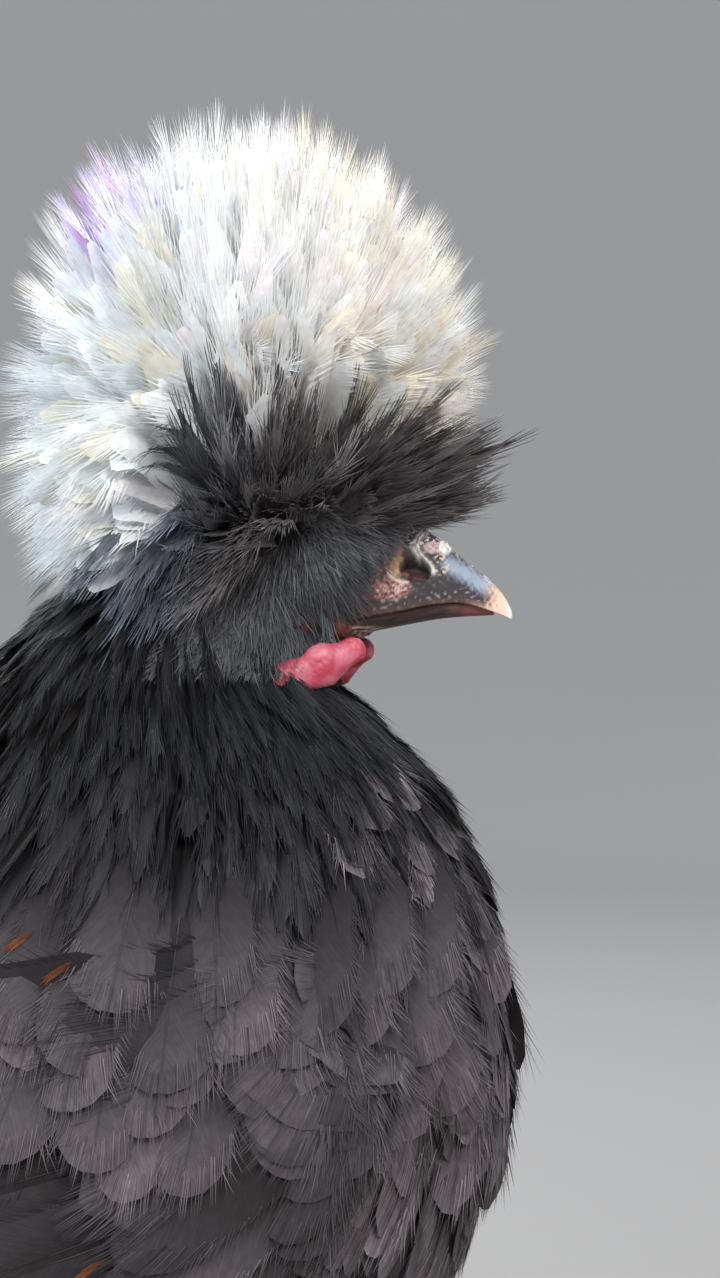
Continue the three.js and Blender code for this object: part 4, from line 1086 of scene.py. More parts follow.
def tail():
    """Two fans that lean together. A side's flight feathers fall behind one another by even degrees, and
    three rows of coverts, each shorter than the one under it, lie over their roots."""
    stock = Stock()
    for _, side in SIDES:
        draw = np.random.default_rng(61)
        i = np.arange(TAIL["pairs"])
        length = TAIL["length"] * (1 - 0.02 * np.abs(i - 2)) * draw.normal(1, 0.01, len(i))
        path, up = tail_paths(side, TAIL["top"] - TAIL["step"] * i, length, 3.2 * i, -1.35 * i)
        dark = np.full((len(i), 3), 0.030) * np.array((1.0, 0.97, 1.05))
        patch = patch_at("tail", 0.3 + 0.4 * (side > 0) + 0.02 * i, i / 9)
        grow(stock, FLIGHT, path, up, np.full(len(i), TAIL["wide"]), dark, dark * 1.2, patch, 62)
        for layer, (long, wide, count, top, step, out) in enumerate(TAIL_COVERTS):
            i = np.arange(count)
            rise = top - step * i + draw.normal(0, 2, count)
            length = long * draw.normal(1, 0.05, count)
            path, up = tail_paths(side, rise, length, 5.5 * i, out - 0.6 * i)
            grey = np.full((count, 3), 0.038) * draw.normal(1, 0.12, (count, 1))
            patch = patch_at("tail", 0.1 + 0.08 * i, 0.3 + 0.2 * layer + 0 * i)
            grow(stock, COVERT, path, up, np.full(count, wide), grey, grey * 1.2, patch, 63 + layer)
    piece("tail_feathers", stock, DARK_PLUMAGE, "black_feather", "tail")


# Legs

LEG = {"side": 36.0, "hock_x": -72.0, "hock_z": 92.0, "foot_x": -53.0, "shank": 5.4, "thigh": 30.0}
TOES = (("middle", 52, 4, 4.6), ("inner", 38, 36, 4.2), ("outer", 41, -34, 4.2), ("back", 19, 172, 3.8))
CLAW = {"length": 12.0, "r": 2.5}


def thigh_rows():
    """The thigh's sections, from the trunk to the hock: x, z, half length and half width."""
    return (
        (-46, 172, LEG["thigh"] + 4, 27),
        (-48, 148, LEG["thigh"] + 2, 26),
        (-55, 124, 25, 21),
        (LEG["hock_x"] + 5, 106, 14, 12),
        (LEG["hock_x"], LEG["hock_z"] + 1, 8, 7.6),
    )


def thigh_surface(side):
    """Level ovals down the thigh: r counts its rows from the trunk, and angle runs from the front to
    the outside."""
    def surface(r, angle, height=0.0):
        x, z, rx, ry = np.moveaxis(rows_at(thigh_rows(), r), -1, 0)
        y = LEG["side"] + (ry + height) * np.sin(angle)
        return np.stack((x + (rx + height) * np.cos(angle), side * y, z), -1)
    return surface


def thighs():
    """Soft feathers in even rings down the thigh, shorter and narrower towards the hock."""
    for word, side in SIDES:
        draw = np.random.default_rng(71)
        rows, around = 9, 22
        r = np.repeat(np.linspace(0.6, 3.55, rows), around) + draw.normal(0, 0.06, rows * around)
        angle = np.tile(turns(around), rows) + draw.normal(0, 0.08, rows * around)
        n = len(r)
        dr = 19 / lerp(24, 14, smooth(1.5, 3.5, r))
        dr = np.minimum(dr, 4.05 - r)
        lift = draw.normal(1.2, 0.7, n)
        path, up = lay(thigh_surface(side), r, angle, dr, draw.normal(0, 0.05, n), 4, lift, draw, 0.3)
        grey = np.array((0.042, 0.039, 0.042)) * draw.normal(1, 0.15, (n, 1))
        wide = lerp(13, 7, smooth(1.5, 3.5, r)) * draw.normal(1, 0.08, n)
        patch = patch_at("legs", angle / TURN / 2 + 0.5 * (side > 0), r / 4)
        coat("thigh_feathers_" + word, SOFT_PLUMAGE, (), CONTOUR,
             path, up, wide, grey * 0.8, grey * 1.2, patch, 72)


def closed_grid(stock, points, paint, end=None):
    """Adds rings of points that run to the right seen along the way, closed at both ends by a point."""
    rows, around = points.shape[:2]
    end = points[-1].mean(0) if end is None else end
    j = np.arange(around)
    k = (j + 1) % around
    last = rows * around
    start_cap = np.stack((j * 0 + last, j, k), -1)
    end_cap = np.stack((j * 0 + last + 1, k + last - around, j + last - around), -1)
    whole = np.concatenate((points.reshape(-1, 3), points[:1].mean(1), end[None]))
    flat = np.asarray(paint, float)
    if flat.ndim > 1:
        flat = flat.reshape(-1, 3)
        flat = np.concatenate((flat, flat[:around].mean(0)[None], flat[-around:].mean(0)[None]))
    stock.add(whole, [grid_faces(rows, around, True)[..., ::-1], start_cap, end_cap], flat)


def formed(name, points, paint, finish, slot, node, end=None):
    """A piece that is one closed form of rings, in the place of its node."""
    stock = Stock()
    closed_grid(stock, points, paint, end)
    piece(name, stock, finish, slot, node)


def ringed(rows, t, around, level=(0.0, 0.0, 1.0), raised=None):
    """Rings square to a path. Rows give x, y, z and the half height and half width; raised(t, angle)
    scales a ring. Angle 0 is the right-hand side of the way, a quarter turn its upper side."""
    rows = np.asarray(rows, float)
    last = len(rows) - 1
    values = rows_at(rows, t * last)
    before, after = (rows_at(rows, np.clip(t + step, 0, 1) * last)[:, :3] for step in (-0.01, 0.01))
    ahead = unit(after - before)
    side = unit(np.cross(ahead, np.array(level)))
    up = np.cross(side, ahead)
    angle = turns(around)
    scale = np.ones((len(t), around)) if raised is None else raised(t[:, None], angle[None])
    c, s = np.cos(angle) * scale, np.sin(angle) * scale
    return (values[:, None, :3] + side[:, None] * (values[:, 4:5] * c)[..., None]
            + up[:, None] * (values[:, 3:4] * s)[..., None])


def rounded(points, t, share):
    """Rings drawn in over that share of the length at both ends, by a quarter circle."""
    near = np.minimum(np.clip(t / share, 0, 1), np.clip((1 - t) / share, 0, 1))
    middle = points.mean(1, keepdims=True)
    return middle + (points - middle) * np.sqrt(np.clip(1 - (1 - near) ** 2, 0.003, 1))[:, None, None]


SLATE = np.array((0.055, 0.062, 0.078))
CLAW_ROOT, CLAW_TIP = np.array((0.10, 0.10, 0.11)), np.array((0.30, 0.28, 0.25))
SHANK_PLATES = 17


def legs():
    """Shanks, toes and claws: rings carried along straight paths, scaled by steps for the plates and flat
    where they meet the floor. A claw's radius falls off by the power 1.2 of the share of its length."""
    for word, side in SIDES:
        y = side * LEG["side"]
        rows = (
            (LEG["hock_x"], y, LEG["hock_z"] + 6, LEG["shank"], LEG["shank"]),
            (LEG["hock_x"] + 1, y, LEG["hock_z"] - 6, LEG["shank"] + 0.8, LEG["shank"] + 1.2),
            (LEG["hock_x"] + 6, y, 60, LEG["shank"] - 0.6, LEG["shank"]),
            (LEG["foot_x"] - 5, y, 30, LEG["shank"] - 0.4, LEG["shank"]),
            (LEG["foot_x"], y, 12, LEG["shank"] + 1.8, LEG["shank"] + 1.6),
            (LEG["foot_x"] + 1, y, 1, LEG["shank"] + 1.6, LEG["shank"] + 1.4),
        )

        def plates(t, angle):
            """Overlapping plates down the front, each thicker at its lower edge, and small bumps
            elsewhere."""
            front = smooth(0.35, 0.75, np.cos(angle))
            step = 1 - (t * SHANK_PLATES + 0.12 * np.cos(angle * 2)) % 1
            bumps = np.sin(t * 150) * np.sin(angle * 9)
            return 1 + 0.09 * front * (1 - step**3) - 0.04 * front + 0.022 * (1 - front) * bumps

        t = np.linspace(0, 1, 240)
        shank = ringed(rows, t, 40, (0.0, 1.0, 0.0), plates)
        lower_edge = ((t * SHANK_PLATES) % 1)[:, None]
        paint = SLATE * (0.75 + 0.45 * lower_edge * np.ones((1, 40)))[..., None]
        formed("shank_scales_" + word, shank, paint, SCALES, "shank", "shank_" + word)

        for toe_name, length, turn, r in TOES:
            name = toe_name + "_" + word
            way = np.radians(-side * turn)
            ahead = np.array((np.cos(way), np.sin(way), 0.0))
            base = np.array((LEG["foot_x"], y, 0.0))
            share = np.linspace(0, 1, 9)
            thick = r * (1 - 0.3 * share) * (1 + 0.07 * np.cos(2 * TURN * share))
            place = base + ahead * lerp(2, length, share)[:, None]
            toe_rows = np.column_stack((place[:, :2], thick * 0.86, thick, thick * 1.06))
            scutes = round(length / 3.4)

            def toe_plates(t, angle, scutes=scutes):
                """Even plates on top, each thicker by the square of its share, and small bumps below."""
                upper = smooth(0.2, 0.7, np.sin(angle))
                step = (t * scutes) % 1
                bumps = np.sin(t * 90) * np.sin(angle * 8)
                return 1 + 0.08 * upper * step**2 - 0.03 * upper + 0.02 * (1 - upper) * bumps

            t = np.linspace(0, 1, 9 * scutes)
            toe = rounded(ringed(toe_rows, t, 28, raised=toe_plates), t, 0.07)
            toe[..., 2] = np.maximum(toe[..., 2], 0.0)
            paint = SLATE * (0.8 + 0.4 * ((t * scutes) % 1))[:, None, None] * np.ones((1, 28, 1))
            formed("toe_scales_" + name, toe, paint, SCALES, "shank", "toe_" + name)

            t, share = np.linspace(0, 1, 40), np.linspace(0, 1, 6)
            place = base + ahead * (length - 2 + (CLAW["length"] + 3) * share)[:, None]
            radius = CLAW["r"] * (1 - 0.9 * share**1.2)
            claw_rows = np.column_stack((place[:, :2], 3.4 - 2.9 * share**2, radius, radius * 0.8))
            claw = ringed(claw_rows, t, 20)
            claw[..., 2] = np.maximum(claw[..., 2], 0.0)
            horn = lerp(CLAW_ROOT, CLAW_TIP, t[:, None, None]) * np.ones((1, 20, 1))
            end = claw[-1].mean(0) + ahead * 0.4
            formed("claw_horn_" + name, claw, horn, CLAW_HORN, "claw", "claw_" + name, end)


# Head

def line_distance(x, z, line):
    """How far a place in side view is from a line through points, and at which share of the line it is
    nearest."""
    line = np.array(line, float)
    best = np.full(np.shape(x), 1e9)
    share = np.zeros(np.shape(x))
    for k, (a, b) in enumerate(zip(line[:-1], line[1:])):
        way = b - a
        t = np.clip(((x - a[0]) * way[0] + (z - a[1]) * way[1]) / (way @ way), 0, 1)
        off = np.hypot(x - a[0] - t * way[0], z - a[1] - t * way[1])
        share = np.where(off < best, (k + t) / (len(line) - 1), share)
        best = np.minimum(off, best)
    return best, share


# The upper beak: x, its ridge, its mouth's edge and its half width
BEAK_ROWS = (
    (13, 3.5, -13.0, 7.6), (17, 4.4, -12.2, 7.8), (21, 5.4, -11.5, 7.7), (25, 6.6, -10.8, 7.4),
    (28.5, 7.0, -10.0, 6.8), (32, 5.3, -9.4, 6.1), (36, 2.2, -9.0, 5.1), (40, -0.7, -9.4, 4.1),
    (44, -4.2, -10.6, 2.9), (46.8, -7.4, -11.6, 1.9), (48.3, -10.2, -12.3, 0.9),
)
# Lines on its side: the crescent over the nostril, the curled rim under it and the slate band
CRESCENT = ((30.1, 7.3), (28.5, 4.9), (27.9, 2.9), (29.0, 1.1), (30.6, -0.5), (31.9, -2.2))
NOSTRIL_RIM = ((21.5, -2.0), (23.0, -3.5), (24.9, -4.5), (26.5, -4.6))
SLATE_BAND = ((35.6, -0.6), (38.5, -2.2), (42.6, -5.0))


def upper_beak():
    """The upper mandible: each section is a quarter of an oval a side from its ridge to the mouth's
    edge, and a shallow palate between the edges. Hollows and ridges move it square to the oval, by
    smooth steps of the distance from spots and lines in side view, and crust by thresholded noise."""
    t = np.linspace(0, 1, 230)
    x, top, edge, half = rows_at(BEAK_ROWS, t * (len(BEAK_ROWS) - 1)).T
    quarter = np.linspace(0, TURN / 4, 72)
    s, c = np.sin(quarter) ** 0.95, np.cos(quarter) ** 0.9
    y = half[:, None] * s
    z = edge[:, None] + (top - edge)[:, None] * c
    across = np.linspace(1, 0, 10)[1:]
    palate_y = half[:, None] * across * 0.93
    palate_z = edge[:, None] + 0.6 + 0.8 * (1 - across**2)[None] * np.clip(half / 5, 0, 1)[:, None]
    skin = np.concatenate((np.ones(len(quarter)), np.zeros(len(across))))
    out_y = np.concatenate((s, 0 * across))
    out_z = np.concatenate((c, 0 * across))
    y = np.concatenate((y, palate_y), 1)
    z = np.concatenate((z, palate_z), 1)
    y = np.concatenate((y, -y[:, -2:0:-1]), 1)
    z = np.concatenate((z, z[:, -2:0:-1]), 1)
    skin = np.concatenate((skin, skin[-2:0:-1]))[None]
    out_y = np.concatenate((out_y, -out_y[-2:0:-1]))[None]
    out_z = np.concatenate((out_z, out_z[-2:0:-1]))[None]
    x = x[:, None] + 0 * y
    points = np.stack((x, y, z), -1)
    side_on = smooth(1.0, 2.2, np.abs(y)) * skin
    fine = wobble(points, 1.1, 5, 2)
    crumbs = 0.75 * wobble(points, 0.95, 6, 3) + 0.4 * wobble(points, 2.8, 26, 2)
    grainy = smooth(0.15, 0.5, crumbs)

    off, along = line_distance(x, z, CRESCENT)
    crescent = hill(off, 0, 0.7) * skin
    groove = hill(off, 0.1, 0.18) * skin * smooth(1.0, 0.6, along)
    rim = hill(line_distance(x, z, NOSTRIL_RIM)[0], 0, 0.34) * side_on
    tilt = np.radians(-14)
    nx = (x - 28.0) * np.cos(tilt) + (z + 1.6) * np.sin(tilt)
    nz = -(x - 28.0) * np.sin(tilt) + (z + 1.6) * np.cos(tilt)
    hollow = smooth(1.08, 0.82, np.hypot(nx / 3.5, nz / 2.5)) * side_on
    membrane = spot(x, z, (24.0, -1.0), (1.9, 2.4)) * side_on * (1 - hollow)
    flap = spot(x, z, (25.6, -2.6), (1.5, 1.0)) * side_on
    knob = spot(x, z, (30.2, 5.2), (4.6, 3.2)) * skin
    white_bump = spot(x, z, (34.2, 2.9), (1.3, 1.5)) * skin
    crust = spot(x, z, (22.2, -5.8), (4.8, 2.4)) * skin
    specks = spot(x, z, (33.4, -0.6), (2.0, 2.3)) * skin
    culmen = smooth(2.6, 0.4, np.abs(y)) * smooth(34, 37, x) * smooth(46.5, 43, x)
    culmen = culmen * smooth(0.2, 0.85, out_z)
    rise = 0.55 * crescent - 0.25 * groove + 0.35 * rim + 0.3 * membrane + (0.35 + 0.3 * fine) * white_bump
    rise += knob * (0.15 + 0.16 * fine + 0.1 * grainy) + crust * (0.16 * fine + 0.16 * grainy)
    rise += 0.08 * specks * grainy
    flecks = smooth(0.5, 0.85, wobble(points * np.array((0.4, 1, 1)), 0.9, 21, 3)) * skin * (1 - hollow)
    rise += culmen * 0.12 * grainy - hollow * (2.1 + 1.0 * smooth(-1.2, 1.4, nz)) + flap * hollow * 1.5
    rise += 0.05 * flecks + 0.05 * wobble(points * np.array((0.3, 1, 1)), 2.2, 23, 3) * skin
    points[..., 1] += out_y * rise
    points[..., 2] += out_z * rise

    height = z - np.interp(x, [row[0] for row in BEAK_ROWS], [row[2] for row in BEAK_ROWS])
    slate = smooth(3.0, 0.4, line_distance(x, z, SLATE_BAND)[0] + 0.5 * fine)
    layers = (
        ((0.20, 0.23, 0.29), slate),
        ((0.06, 0.027, 0.022), smooth(2.0, 0.5, height + 0.3 * fine) * 0.9),
        ((0.30, 0.18, 0.13), smooth(1.6, 0.3, height) * smooth(38, 43, x) * 0.8),
        ((0.055, 0.025, 0.025), smooth(24, 17, x) * 0.9),
        ((0.05, 0.045, 0.045), knob),
        ((0.55, 0.52, 0.51), knob * smooth(0.0, 0.35, crumbs) * 0.9),
        ((0.46, 0.32, 0.32), spot(x, z, (31.7, 3.0), (2.0, 1.2)) * (0.75 + 0.4 * fine)),
        ((0.74, 0.71, 0.68), white_bump * (0.8 + 0.5 * fine)),
        ((0.46, 0.36, 0.27), specks * grainy * 0.9),
        ((0.25, 0.11, 0.12), spot(x, z, (23.6, 2.6), (1.8, 1.6)) * 0.9),
        ((0.29, 0.12, 0.11), crust * (0.8 + 0.3 * fine)),
        ((0.46, 0.35, 0.30), crust * grainy * 0.75),
        ((0.012, 0.010, 0.010), crust * smooth(0.25, 0.55, -crumbs) * 0.9),
        ((0.34, 0.22, 0.115), membrane * (0.9 + 0.3 * fine)),
        ((0.56, 0.52, 0.51), crescent * (1.0 + 0.5 * fine)),
        ((0.16, 0.15, 0.15), groove * 0.8),
        ((0.55, 0.42, 0.38), rim * 0.9),
        # Painted shade in the nostril: its hollow is dark red-brown, partly the skin's own colour and
        # partly painted shade, and near black towards its top, painted shade where it is sunk deepest under
        # its upper edge
        ((0.040, 0.014, 0.013), hollow),
        ((0.10, 0.045, 0.038), flap * hollow * 0.8),
        ((0.006, 0.005, 0.005), hollow * smooth(0.4, 1.5, nz) * 0.9),
        ((0.55, 0.55, 0.54), culmen * grainy * 0.8),
        ((0.27, 0.24, 0.24), flecks * (0.15 + 0.4 * smooth(1.6, 0.6, np.abs(height - 2.4)))),
        ((0.60, 0.40, 0.32), smooth(41.8, 46.2, x - 0.12 * (z + 9) + 0.9 * fine)),
        ((0.70, 0.62, 0.55), smooth(46.5, 48.6, x) * 0.8),
        ((0.22, 0.08, 0.07), np.broadcast_to(1 - skin, x.shape)),
    )
    paint = np.zeros(points.shape) + np.array((0.026, 0.020, 0.023))
    for colour, amount in layers:
        paint = lerp(paint, np.array(colour), np.clip(amount, 0, 1)[..., None])
    end = on_head(np.array((49.0, 0, -12.4)))
    formed("beak_upper_horn", on_head(points)[:, ::-1], paint[:, ::-1], HORN, "beak", "beak_upper", end)


# The lower beak: x, its edge, its underside and its half width
LOWER_ROWS = (
    (12, -11.9, -16.6, 7.2), (18, -11.6, -15.1, 6.8), (26, -10.4, -13.5, 5.8), (33, -9.1, -12.3, 4.7),
    (39, -9.1, -11.8, 3.3), (43, -10.0, -11.6, 1.9), (44.6, -10.8, -11.5, 0.7),
)


def lower_beak():
    """The lower mandible: a shallow trough whose underside is half an oval."""
    t = np.linspace(0, 1, 150)
    x, top, bottom, half = rows_at(LOWER_ROWS, t * (len(LOWER_ROWS) - 1)).T
    c, s = np.cos(turns(72)), np.sin(turns(72))
    y = half[:, None] * np.sign(c) * np.abs(c) ** 0.8
    hump = -0.5 * s * np.clip(half / 5, 0, 1)[:, None]
    z = top[:, None] + np.where(s < 0, (top - bottom)[:, None] * s, hump)
    x = x[:, None] + 0 * y
    points = np.stack((x, y, z), -1)
    flaky = wobble(points * np.array((0.4, 1, 1)), 1.6, 17, 3)
    points[..., 1] += np.sign(y) * 0.05 * flaky
    brown = np.array((0.045, 0.029, 0.027)) * (1 + 0.3 * flaky[..., None])
    paint = lerp(brown, np.array((0.17, 0.06, 0.05)), smooth(33, 42, x)[..., None])
    base = smooth(21.5, 19, x) * smooth(-13.6, -14.6, z)
    paint = lerp(paint, np.array((0.56, 0.44, 0.34)), (base * smooth(-0.6, 0.3, flaky))[..., None])
    formed("beak_lower_horn", on_head(points)[:, ::-1], paint[:, ::-1], HORN, "beak", "beak_lower")


def eye_frame(side):
    """The eye's middle, the way it looks, and the right and upper side of that way."""
    gaze = unit(np.array((0.22, side * 1.0, 0.02)))
    right = unit(np.cross(gaze, np.array((0, 0, 1.0))))
    return np.array((EYE["x"], side * EYE["y"], EYE["z"])), gaze, right, np.cross(right, gaze)


def eyes():
    """Eyeballs whose pole looks outwards: the pupil, the iris and its dark rim are rings about that
    pole, and the cornea bulges over them."""
    for word, side in SIDES:
        polar = np.linspace(0.02, np.pi - 0.02, 90)[:, None]
        turn = turns(96)[None]
        middle, gaze, right, up = eye_frame(side)
        r = EYE["r"] - 0.15 + 0.35 * hill(polar, 0, 0.5) + 0 * turn
        way = (gaze * np.cos(polar)[..., None] + right * (np.sin(polar) * np.cos(turn))[..., None]
               + up * (np.sin(polar) * np.sin(turn))[..., None])
        points = middle + way * r[..., None]
        streaks = 0.75 + 0.35 * np.sin(turn * 23 + 2 * np.sin(turn * 7)) * np.sin(turn * 41)
        bay = np.array((0.42, 0.12, 0.025)) * streaks[..., None] * np.ones((90, 1, 1))
        inner = np.array((0.30, 0.16, 0.05))
        iris = lerp(inner, bay, smooth(0.26, 0.44, polar)[..., None])
        paint = lerp(np.full(3, 0.004), iris, smooth(0.245, 0.265, polar)[..., None])
        paint = lerp(paint, np.array((0.03, 0.010, 0.008)), smooth(0.60, 0.68, polar)[..., None])
        paint = lerp(paint, np.array((0.20, 0.12, 0.09)), smooth(0.74, 0.95, polar)[..., None])
        paint = (paint + 0 * points)[:, ::-1]
        formed("eyeball_" + word, on_head(points)[:, ::-1], paint, EYE_GLOSS, "eye", "eye_" + word)


WATTLE = {"length": 25.0, "folds": 3, "thick": 4.2}


def wattle(word, side):
    """A soft lobe from the corner of the mouth, back and down, in shallow folds: an oval carried along
    a curve, with wrinkles across it and pimples all over."""
    share = np.linspace(0, 1, 25)
    full = np.sin(np.pi * (0.13 + 0.79 * share)) ** 0.8
    fold = 1 + 0.13 * np.cos(TURN * WATTLE["folds"] * share)
    x = 17 - (WATTLE["length"] - 1.5) * share
    y = side * (6.6 + 14.5 * share**1.2)
    z = -17.6 - 12.2 * share**0.9
    rows = np.column_stack((x, y, z, 4.4 * full * fold, (WATTLE["thick"] / 2) * full * fold + 0.3))
    t = np.linspace(0, 1, 130)

    def wrinkles(t, angle):
        """Uneven waves across the lobe, and pimples."""
        across = np.sin(t * 46 + 1.3 * np.sin(angle) + 0.8 * np.sin(t * 17))
        return 1 + 0.022 * across + 0.012 * np.sin(t * 120 + angle * 3) * np.sin(angle * 11)

    points = rounded(ringed(rows, t, 72, raised=wrinkles), t, 0.08)
    points = points + 0.10 * wobble(points, 2.2, 7, 3)[..., None] * np.array((0, side, 0.3))
    light = smooth(-0.6, 1.0, wobble(points, 6.0, 9, 2))[..., None]
    paint = lerp(np.array((0.36, 0.035, 0.065)), np.array((0.48, 0.14, 0.19)), light)
    formed("wattle_lobe_" + word, on_head(points), paint, WATTLE_SKIN, "wattle", "wattle_" + word)


def earlobe(word, side):
    """A chalky oval behind the corner of the mouth, a little uneven."""
    ball = direction(np.linspace(0.03, np.pi - 0.03, 40)[:, None], turns(48)[None])
    ball = ball * np.array((3.6, 2.6, 4.4)) * (1 + 0.04 * wobble(ball * 4, 3.0, 12, 2)[..., None])
    points = ball + np.array((-3.5, side * 10.6, -11.0))
    chalk = np.array((0.70, 0.62, 0.56)) * (1 + 0.06 * wobble(points, 2.5, 13, 2)[..., None])
    formed("earlobe_skin_" + word, on_head(points), chalk, LOBE_SKIN, "earlobe", "earlobe_" + word)


# The skull: the middle of each section, its half height and its half width
SKULL = (
    (-23, 0, 3, 7, 6), (-18, 0, 3, 12.5, 10.5), (-10, 0, 3, 16.5, 14), (0, 0, 2.5, 18, 15),
    (8, 0, 1.2, 16.6, 13.6), (14, 0, -1.4, 13.8, 11.2), (18.5, 0, -3.4, 11, 9), (21.5, 0, -4.6, 8.8, 7.2),
)
SKULL_X = [row[0] for row in SKULL]


def rough_form(points, name):
    """A closed mesh object of rings, for fusing."""
    stock = Stock()
    closed_grid(stock, points, np.ones(3))
    mesh = bpy.data.meshes.new(name)
    where = np.concatenate(stock.points)
    faces = [tuple(f) for block in stock.faces for f in block.tolist()]
    mesh.from_pydata(where.tolist(), [], faces)
    return placed(name, mesh)


def ball_rings(middle, size):
    """Level rings of an egg of those half sizes."""
    polar = np.linspace(0.04, np.pi - 0.04, 40)[:, None]
    return np.array(middle) + direction(polar, turns(48)[None]) * np.array(size)


def applied(whole):
    """The mesh of an object with its modifiers applied. The object itself is removed."""
    ready = whole.evaluated_get(bpy.context.evaluated_depsgraph_get())
    mesh = bpy.data.meshes.new_from_object(ready)
    bpy.data.objects.remove(whole)
    return mesh


def fused(parts, voxel, name):
    """One closed surface around the parts, by a voxel remesh of that size."""
    whole = parts[0]
    chosen = {"active_object": whole, "selected_editable_objects": parts, "selected_objects": parts}
    with bpy.context.temp_override(**chosen):
        bpy.ops.object.join()
    remesh = whole.modifiers.new("remesh", "REMESH")
    remesh.mode = "VOXEL"
    remesh.voxel_size = voxel
    return placed(name, applied(whole))


def vertex_array(mesh, what, width):
    """A row of that many numbers for each of a mesh's vertices."""
    values = np.zeros(len(mesh.vertices) * width, np.float32)
    mesh.vertices.foreach_get(what, values)
    return values.reshape(-1, width).astype(float)


def head_form():
    """The bare head: the skull, the knob under the crest, the throat, and round each eye two ovals for
    the lids' edge and the fold behind it, fused."""
    forms = [ringed(SKULL, np.linspace(0, 1, 60), 64)]
    forms += [ball_rings((-5, 0, 15), (14, 12.5, 12)), ball_rings((5, 0, -12), (15, 8.5, 6.5))]
    for _, side in SIDES:
        turn = turns(80)
        middle, gaze, right, up = eye_frame(side)
        for lift, long, tall, thick in ((6.3, 5.3, 3.9, 1.15), (5.4, 6.9, 5.6, 1.3)):
            across, high = (long * np.cos(turn))[:, None], (tall * np.sin(turn))[:, None]
            ring = gaze * lift + right * across + up * high + middle
            forward = unit(np.roll(ring, -1, 0) - np.roll(ring, 1, 0))
            out = unit(np.cross(forward, gaze))
            angle = turns(12)[:, None]
            tube = ring[:, None] + thick * (out[:, None] * np.cos(angle) + gaze * np.sin(angle))
            half = len(turn) // 2
            forms += [tube[: half + 3], np.concatenate((tube[half - 1:], tube[:2]))]
    parts = [rough_form(form, "head_part") for form in forms]
    return fused(parts, 0.55, "head_form")


def skin():
    """The bird's own skin, under its plumage: the trunk and neck sunk by the coat's depth, the thighs,
    the wings' pads, the tail's root and the bare face, fused into one surface."""
    r = np.linspace(0, BODY_LAST, 70)[:, None]
    angle = turns(64)[None]
    sunk = -lerp(9.0, 4.5, smooth(7, 11, r))
    forms = [body_point(r + 0 * angle, angle + 0 * r, sunk)]
    for _, side in SIDES:
        t = np.linspace(0.2, 4, 30)[:, None]
        around = turns(40)[None]
        forms.append(thigh_surface(side)(t + 0 * around, around + 0 * t, -3.0))
        s = np.linspace(0.02, 0.8, 30)[:, None]
        u = np.linspace(0.04, 0.96, 24)[None]
        outer = on_pad(side)(s + 0 * u, u + 0 * s, -2.5)
        inner = on_pad(side)(s + 0 * u, u + 0 * s, -13.0)
        forms.append(np.concatenate((outer, inner[:, ::-1]), 1))
    forms.append(ball_rings((TAIL["x"] - 2, 0, TAIL["z"] - 8), (16, 12, 19)))
    body = fused([rough_form(form, "skin_part") for form in forms], 2.6, "bird_skin")
    head = head_form()
    where = on_head(vertex_array(head.data, "co", 3))
    head.data.vertices.foreach_set("co", where.astype(np.float32).ravel())
    union = body.modifiers.new("union", "BOOLEAN")
    union.operation = "UNION"
    union.solver = "EXACT"
    union.object = head
    mesh = applied(body)
    bpy.data.objects.remove(head)
    points = vertex_array(mesh, "co", 3)
    normals = np.array([n.vector for n in mesh.vertex_normals])
    local = turned(points - HEAD, -HEAD_YAW)
    bare = smooth(-7, -1, local[:, 0]) * smooth(9, 3, local[:, 2]) * smooth(-24, -19, local[:, 2])
    pebbles = np.maximum(wobble(local, 2.6, 3, 2), -0.2)
    points = points + normals * (0.28 * bare * pebbles)[:, None]
    red = np.array((0.17, 0.030, 0.032))
    flush = smooth(-0.8, 0.8, wobble(local, 9.0, 4, 2))[:, None]
    face = lerp(red * 0.6, red * 1.3, flush) * (1 + 0.25 * pebbles[:, None])
    crumbs = smooth(-0.3, 0.5, wobble(local, 1.4, 8, 3))[:, None]
    crusty = lerp(np.array((0.020, 0.012, 0.012)), np.array((0.32, 0.15, 0.13)), crumbs)
    face = lerp(face, crusty, 0.85 * smooth(11, 16, local[:, 0])[:, None])
    near_white = smooth(22, 30, local[:, 2]) * smooth(-40, -25, local[:, 0])
    under = lerp(np.array((0.030, 0.026, 0.028)), np.array((0.62, 0.58, 0.54)), near_white[:, None])
    painted(mesh, np.clip(lerp(under, face, bare[:, None]), 0, 1))
    mesh.vertices.foreach_set("co", ((points + SHIFT) * MM).astype(np.float32).ravel())
    mesh.shade_smooth()
    mesh.update()
    mesh.materials.append(SKIN)
    made = placed("bird_skin", mesh)
    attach(made, "root")
    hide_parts("head", "neck", "torso", "thigh_right", "thigh_left")


skin()
upper_beak()
lower_beak()
eyes()
for word, side in SIDES:
    wattle(word, side)
    earlobe(word, side)
legs()
white_crest()
black_crest()
cheek_feathers()
body_coat()
wings()
tail()
thighs()


# Stage, lights and camera

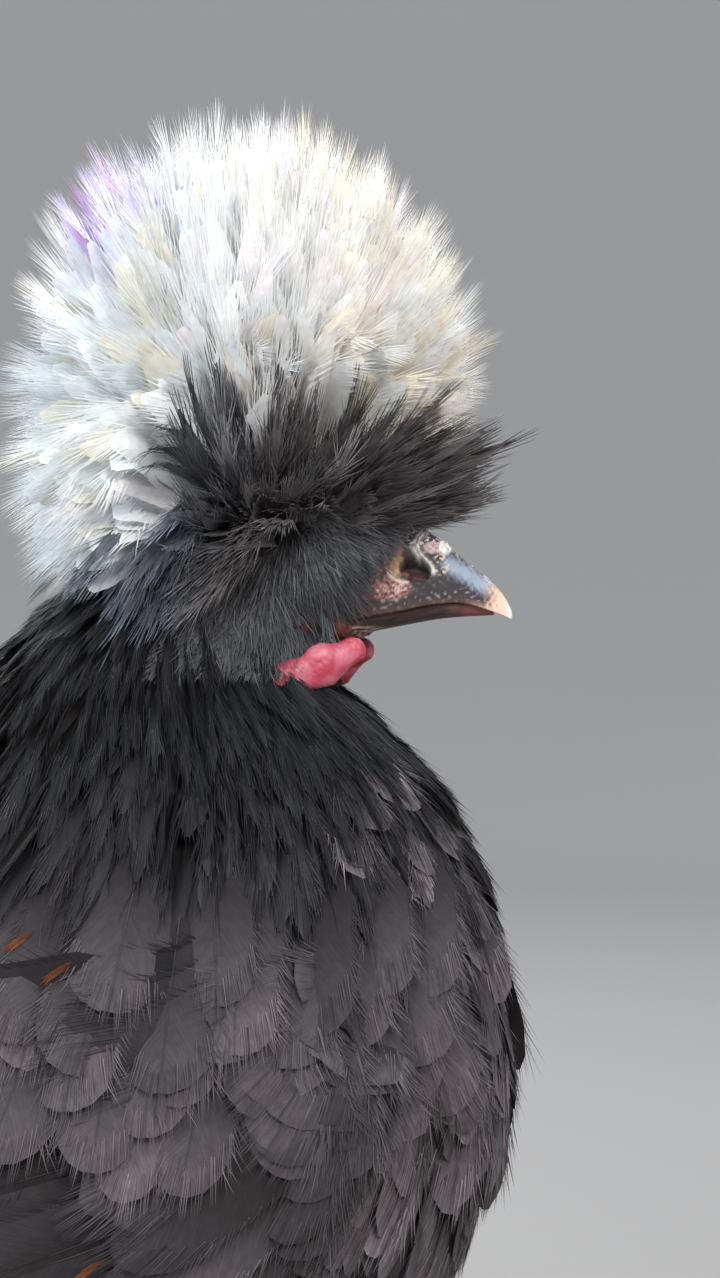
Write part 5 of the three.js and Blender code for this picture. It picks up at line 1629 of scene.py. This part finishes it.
def stage_floor():
    """A pale floor that curves up into a round wall far behind whatever side is seen: height is a
    smooth step of the distance from the middle."""
    out = np.concatenate((np.linspace(0, 2.2, 12), np.linspace(2.3, 4.0, 24)))
    rise = 2.4 * smooth(2.2, 4.0, out) ** 1.5
    around = 96
    angle = turns(around)
    x, y = out[1:, None] * np.cos(angle), out[1:, None] * np.sin(angle)
    ring = np.stack((x, y, rise[1:, None] + 0 * x), -1).reshape(-1, 3)
    points = np.concatenate((np.zeros((1, 3)), ring))
    inner = [(0, 1 + j, 1 + (j + 1) % around) for j in range(around)]
    outer = (grid_faces(len(out) - 1, around, True)[..., ::-1] + 1).reshape(-1, 4).tolist()
    mesh = bpy.data.meshes.new("studio_floor")
    mesh.from_pydata(points.tolist(), [], inner + outer)
    mesh.shade_smooth()
    finish, _, shader = nodes_of("studio_floor")
    shader.inputs["Base Color"].default_value = (0.27, 0.26, 0.25, 1)
    shader.inputs["Roughness"].default_value = 0.9
    mesh.materials.append(finish)
    placed("studio_floor", mesh)


def soft_light(name, place, aim, size, power, colour):
    """A round area light at a place, turned to what it aims at."""
    data = bpy.data.lights.new(name, "AREA")
    data.shape = "DISK"
    data.size = size
    data.energy = power
    data.color = colour
    lamp = placed(name, data)
    lamp.location = place
    way = np.array(aim) - np.array(place)
    lamp.rotation_euler = Vector(way).to_track_quat("-Z", "Y").to_euler()


def lights():
    """A pale sky all round, a low key light in front, a weaker fill towards the tail and one behind."""
    world = bpy.data.worlds.new("studio")
    world.use_nodes = True
    glow = world.node_tree.nodes["Background"]
    glow.inputs["Color"].default_value = (0.86, 0.92, 1.0, 1)
    glow.inputs["Strength"].default_value = 1.6
    bpy.context.scene.world = world
    soft_light("key_light", (0.8, -1.3, 1.15), (0.05, 0, 0.3), 0.7, 28, (1.0, 0.97, 0.93))
    soft_light("fill_light", (-0.9, -1.3, 0.7), (0, 0, 0.3), 1.0, 22, (0.88, 0.93, 1.0))
    soft_light("back_light", (-0.4, 1.2, 1.4), (0, 0, 0.3), 0.7, 14, (1.0, 1.0, 1.0))
    bpy.context.scene.view_settings.view_transform = "Standard"


def camera():
    """The photograph's view: level and square to the hen's right side, its frame at the head's scale."""
    data = bpy.data.cameras.new("camera")
    data.sensor_width = 36
    data.lens = 36 * VIEW_AWAY / (PHOTO_HIGH * PIXEL)
    data.clip_start = 0.01
    eye = placed("camera", data)
    eye.location = (VIEW_MIDDLE + SHIFT) * MM + np.array((0, -VIEW_AWAY * MM, 0))
    eye.rotation_euler = (TURN / 4, 0, 0)
    bpy.context.scene.camera = eye


stage_floor()
lights()
camera()
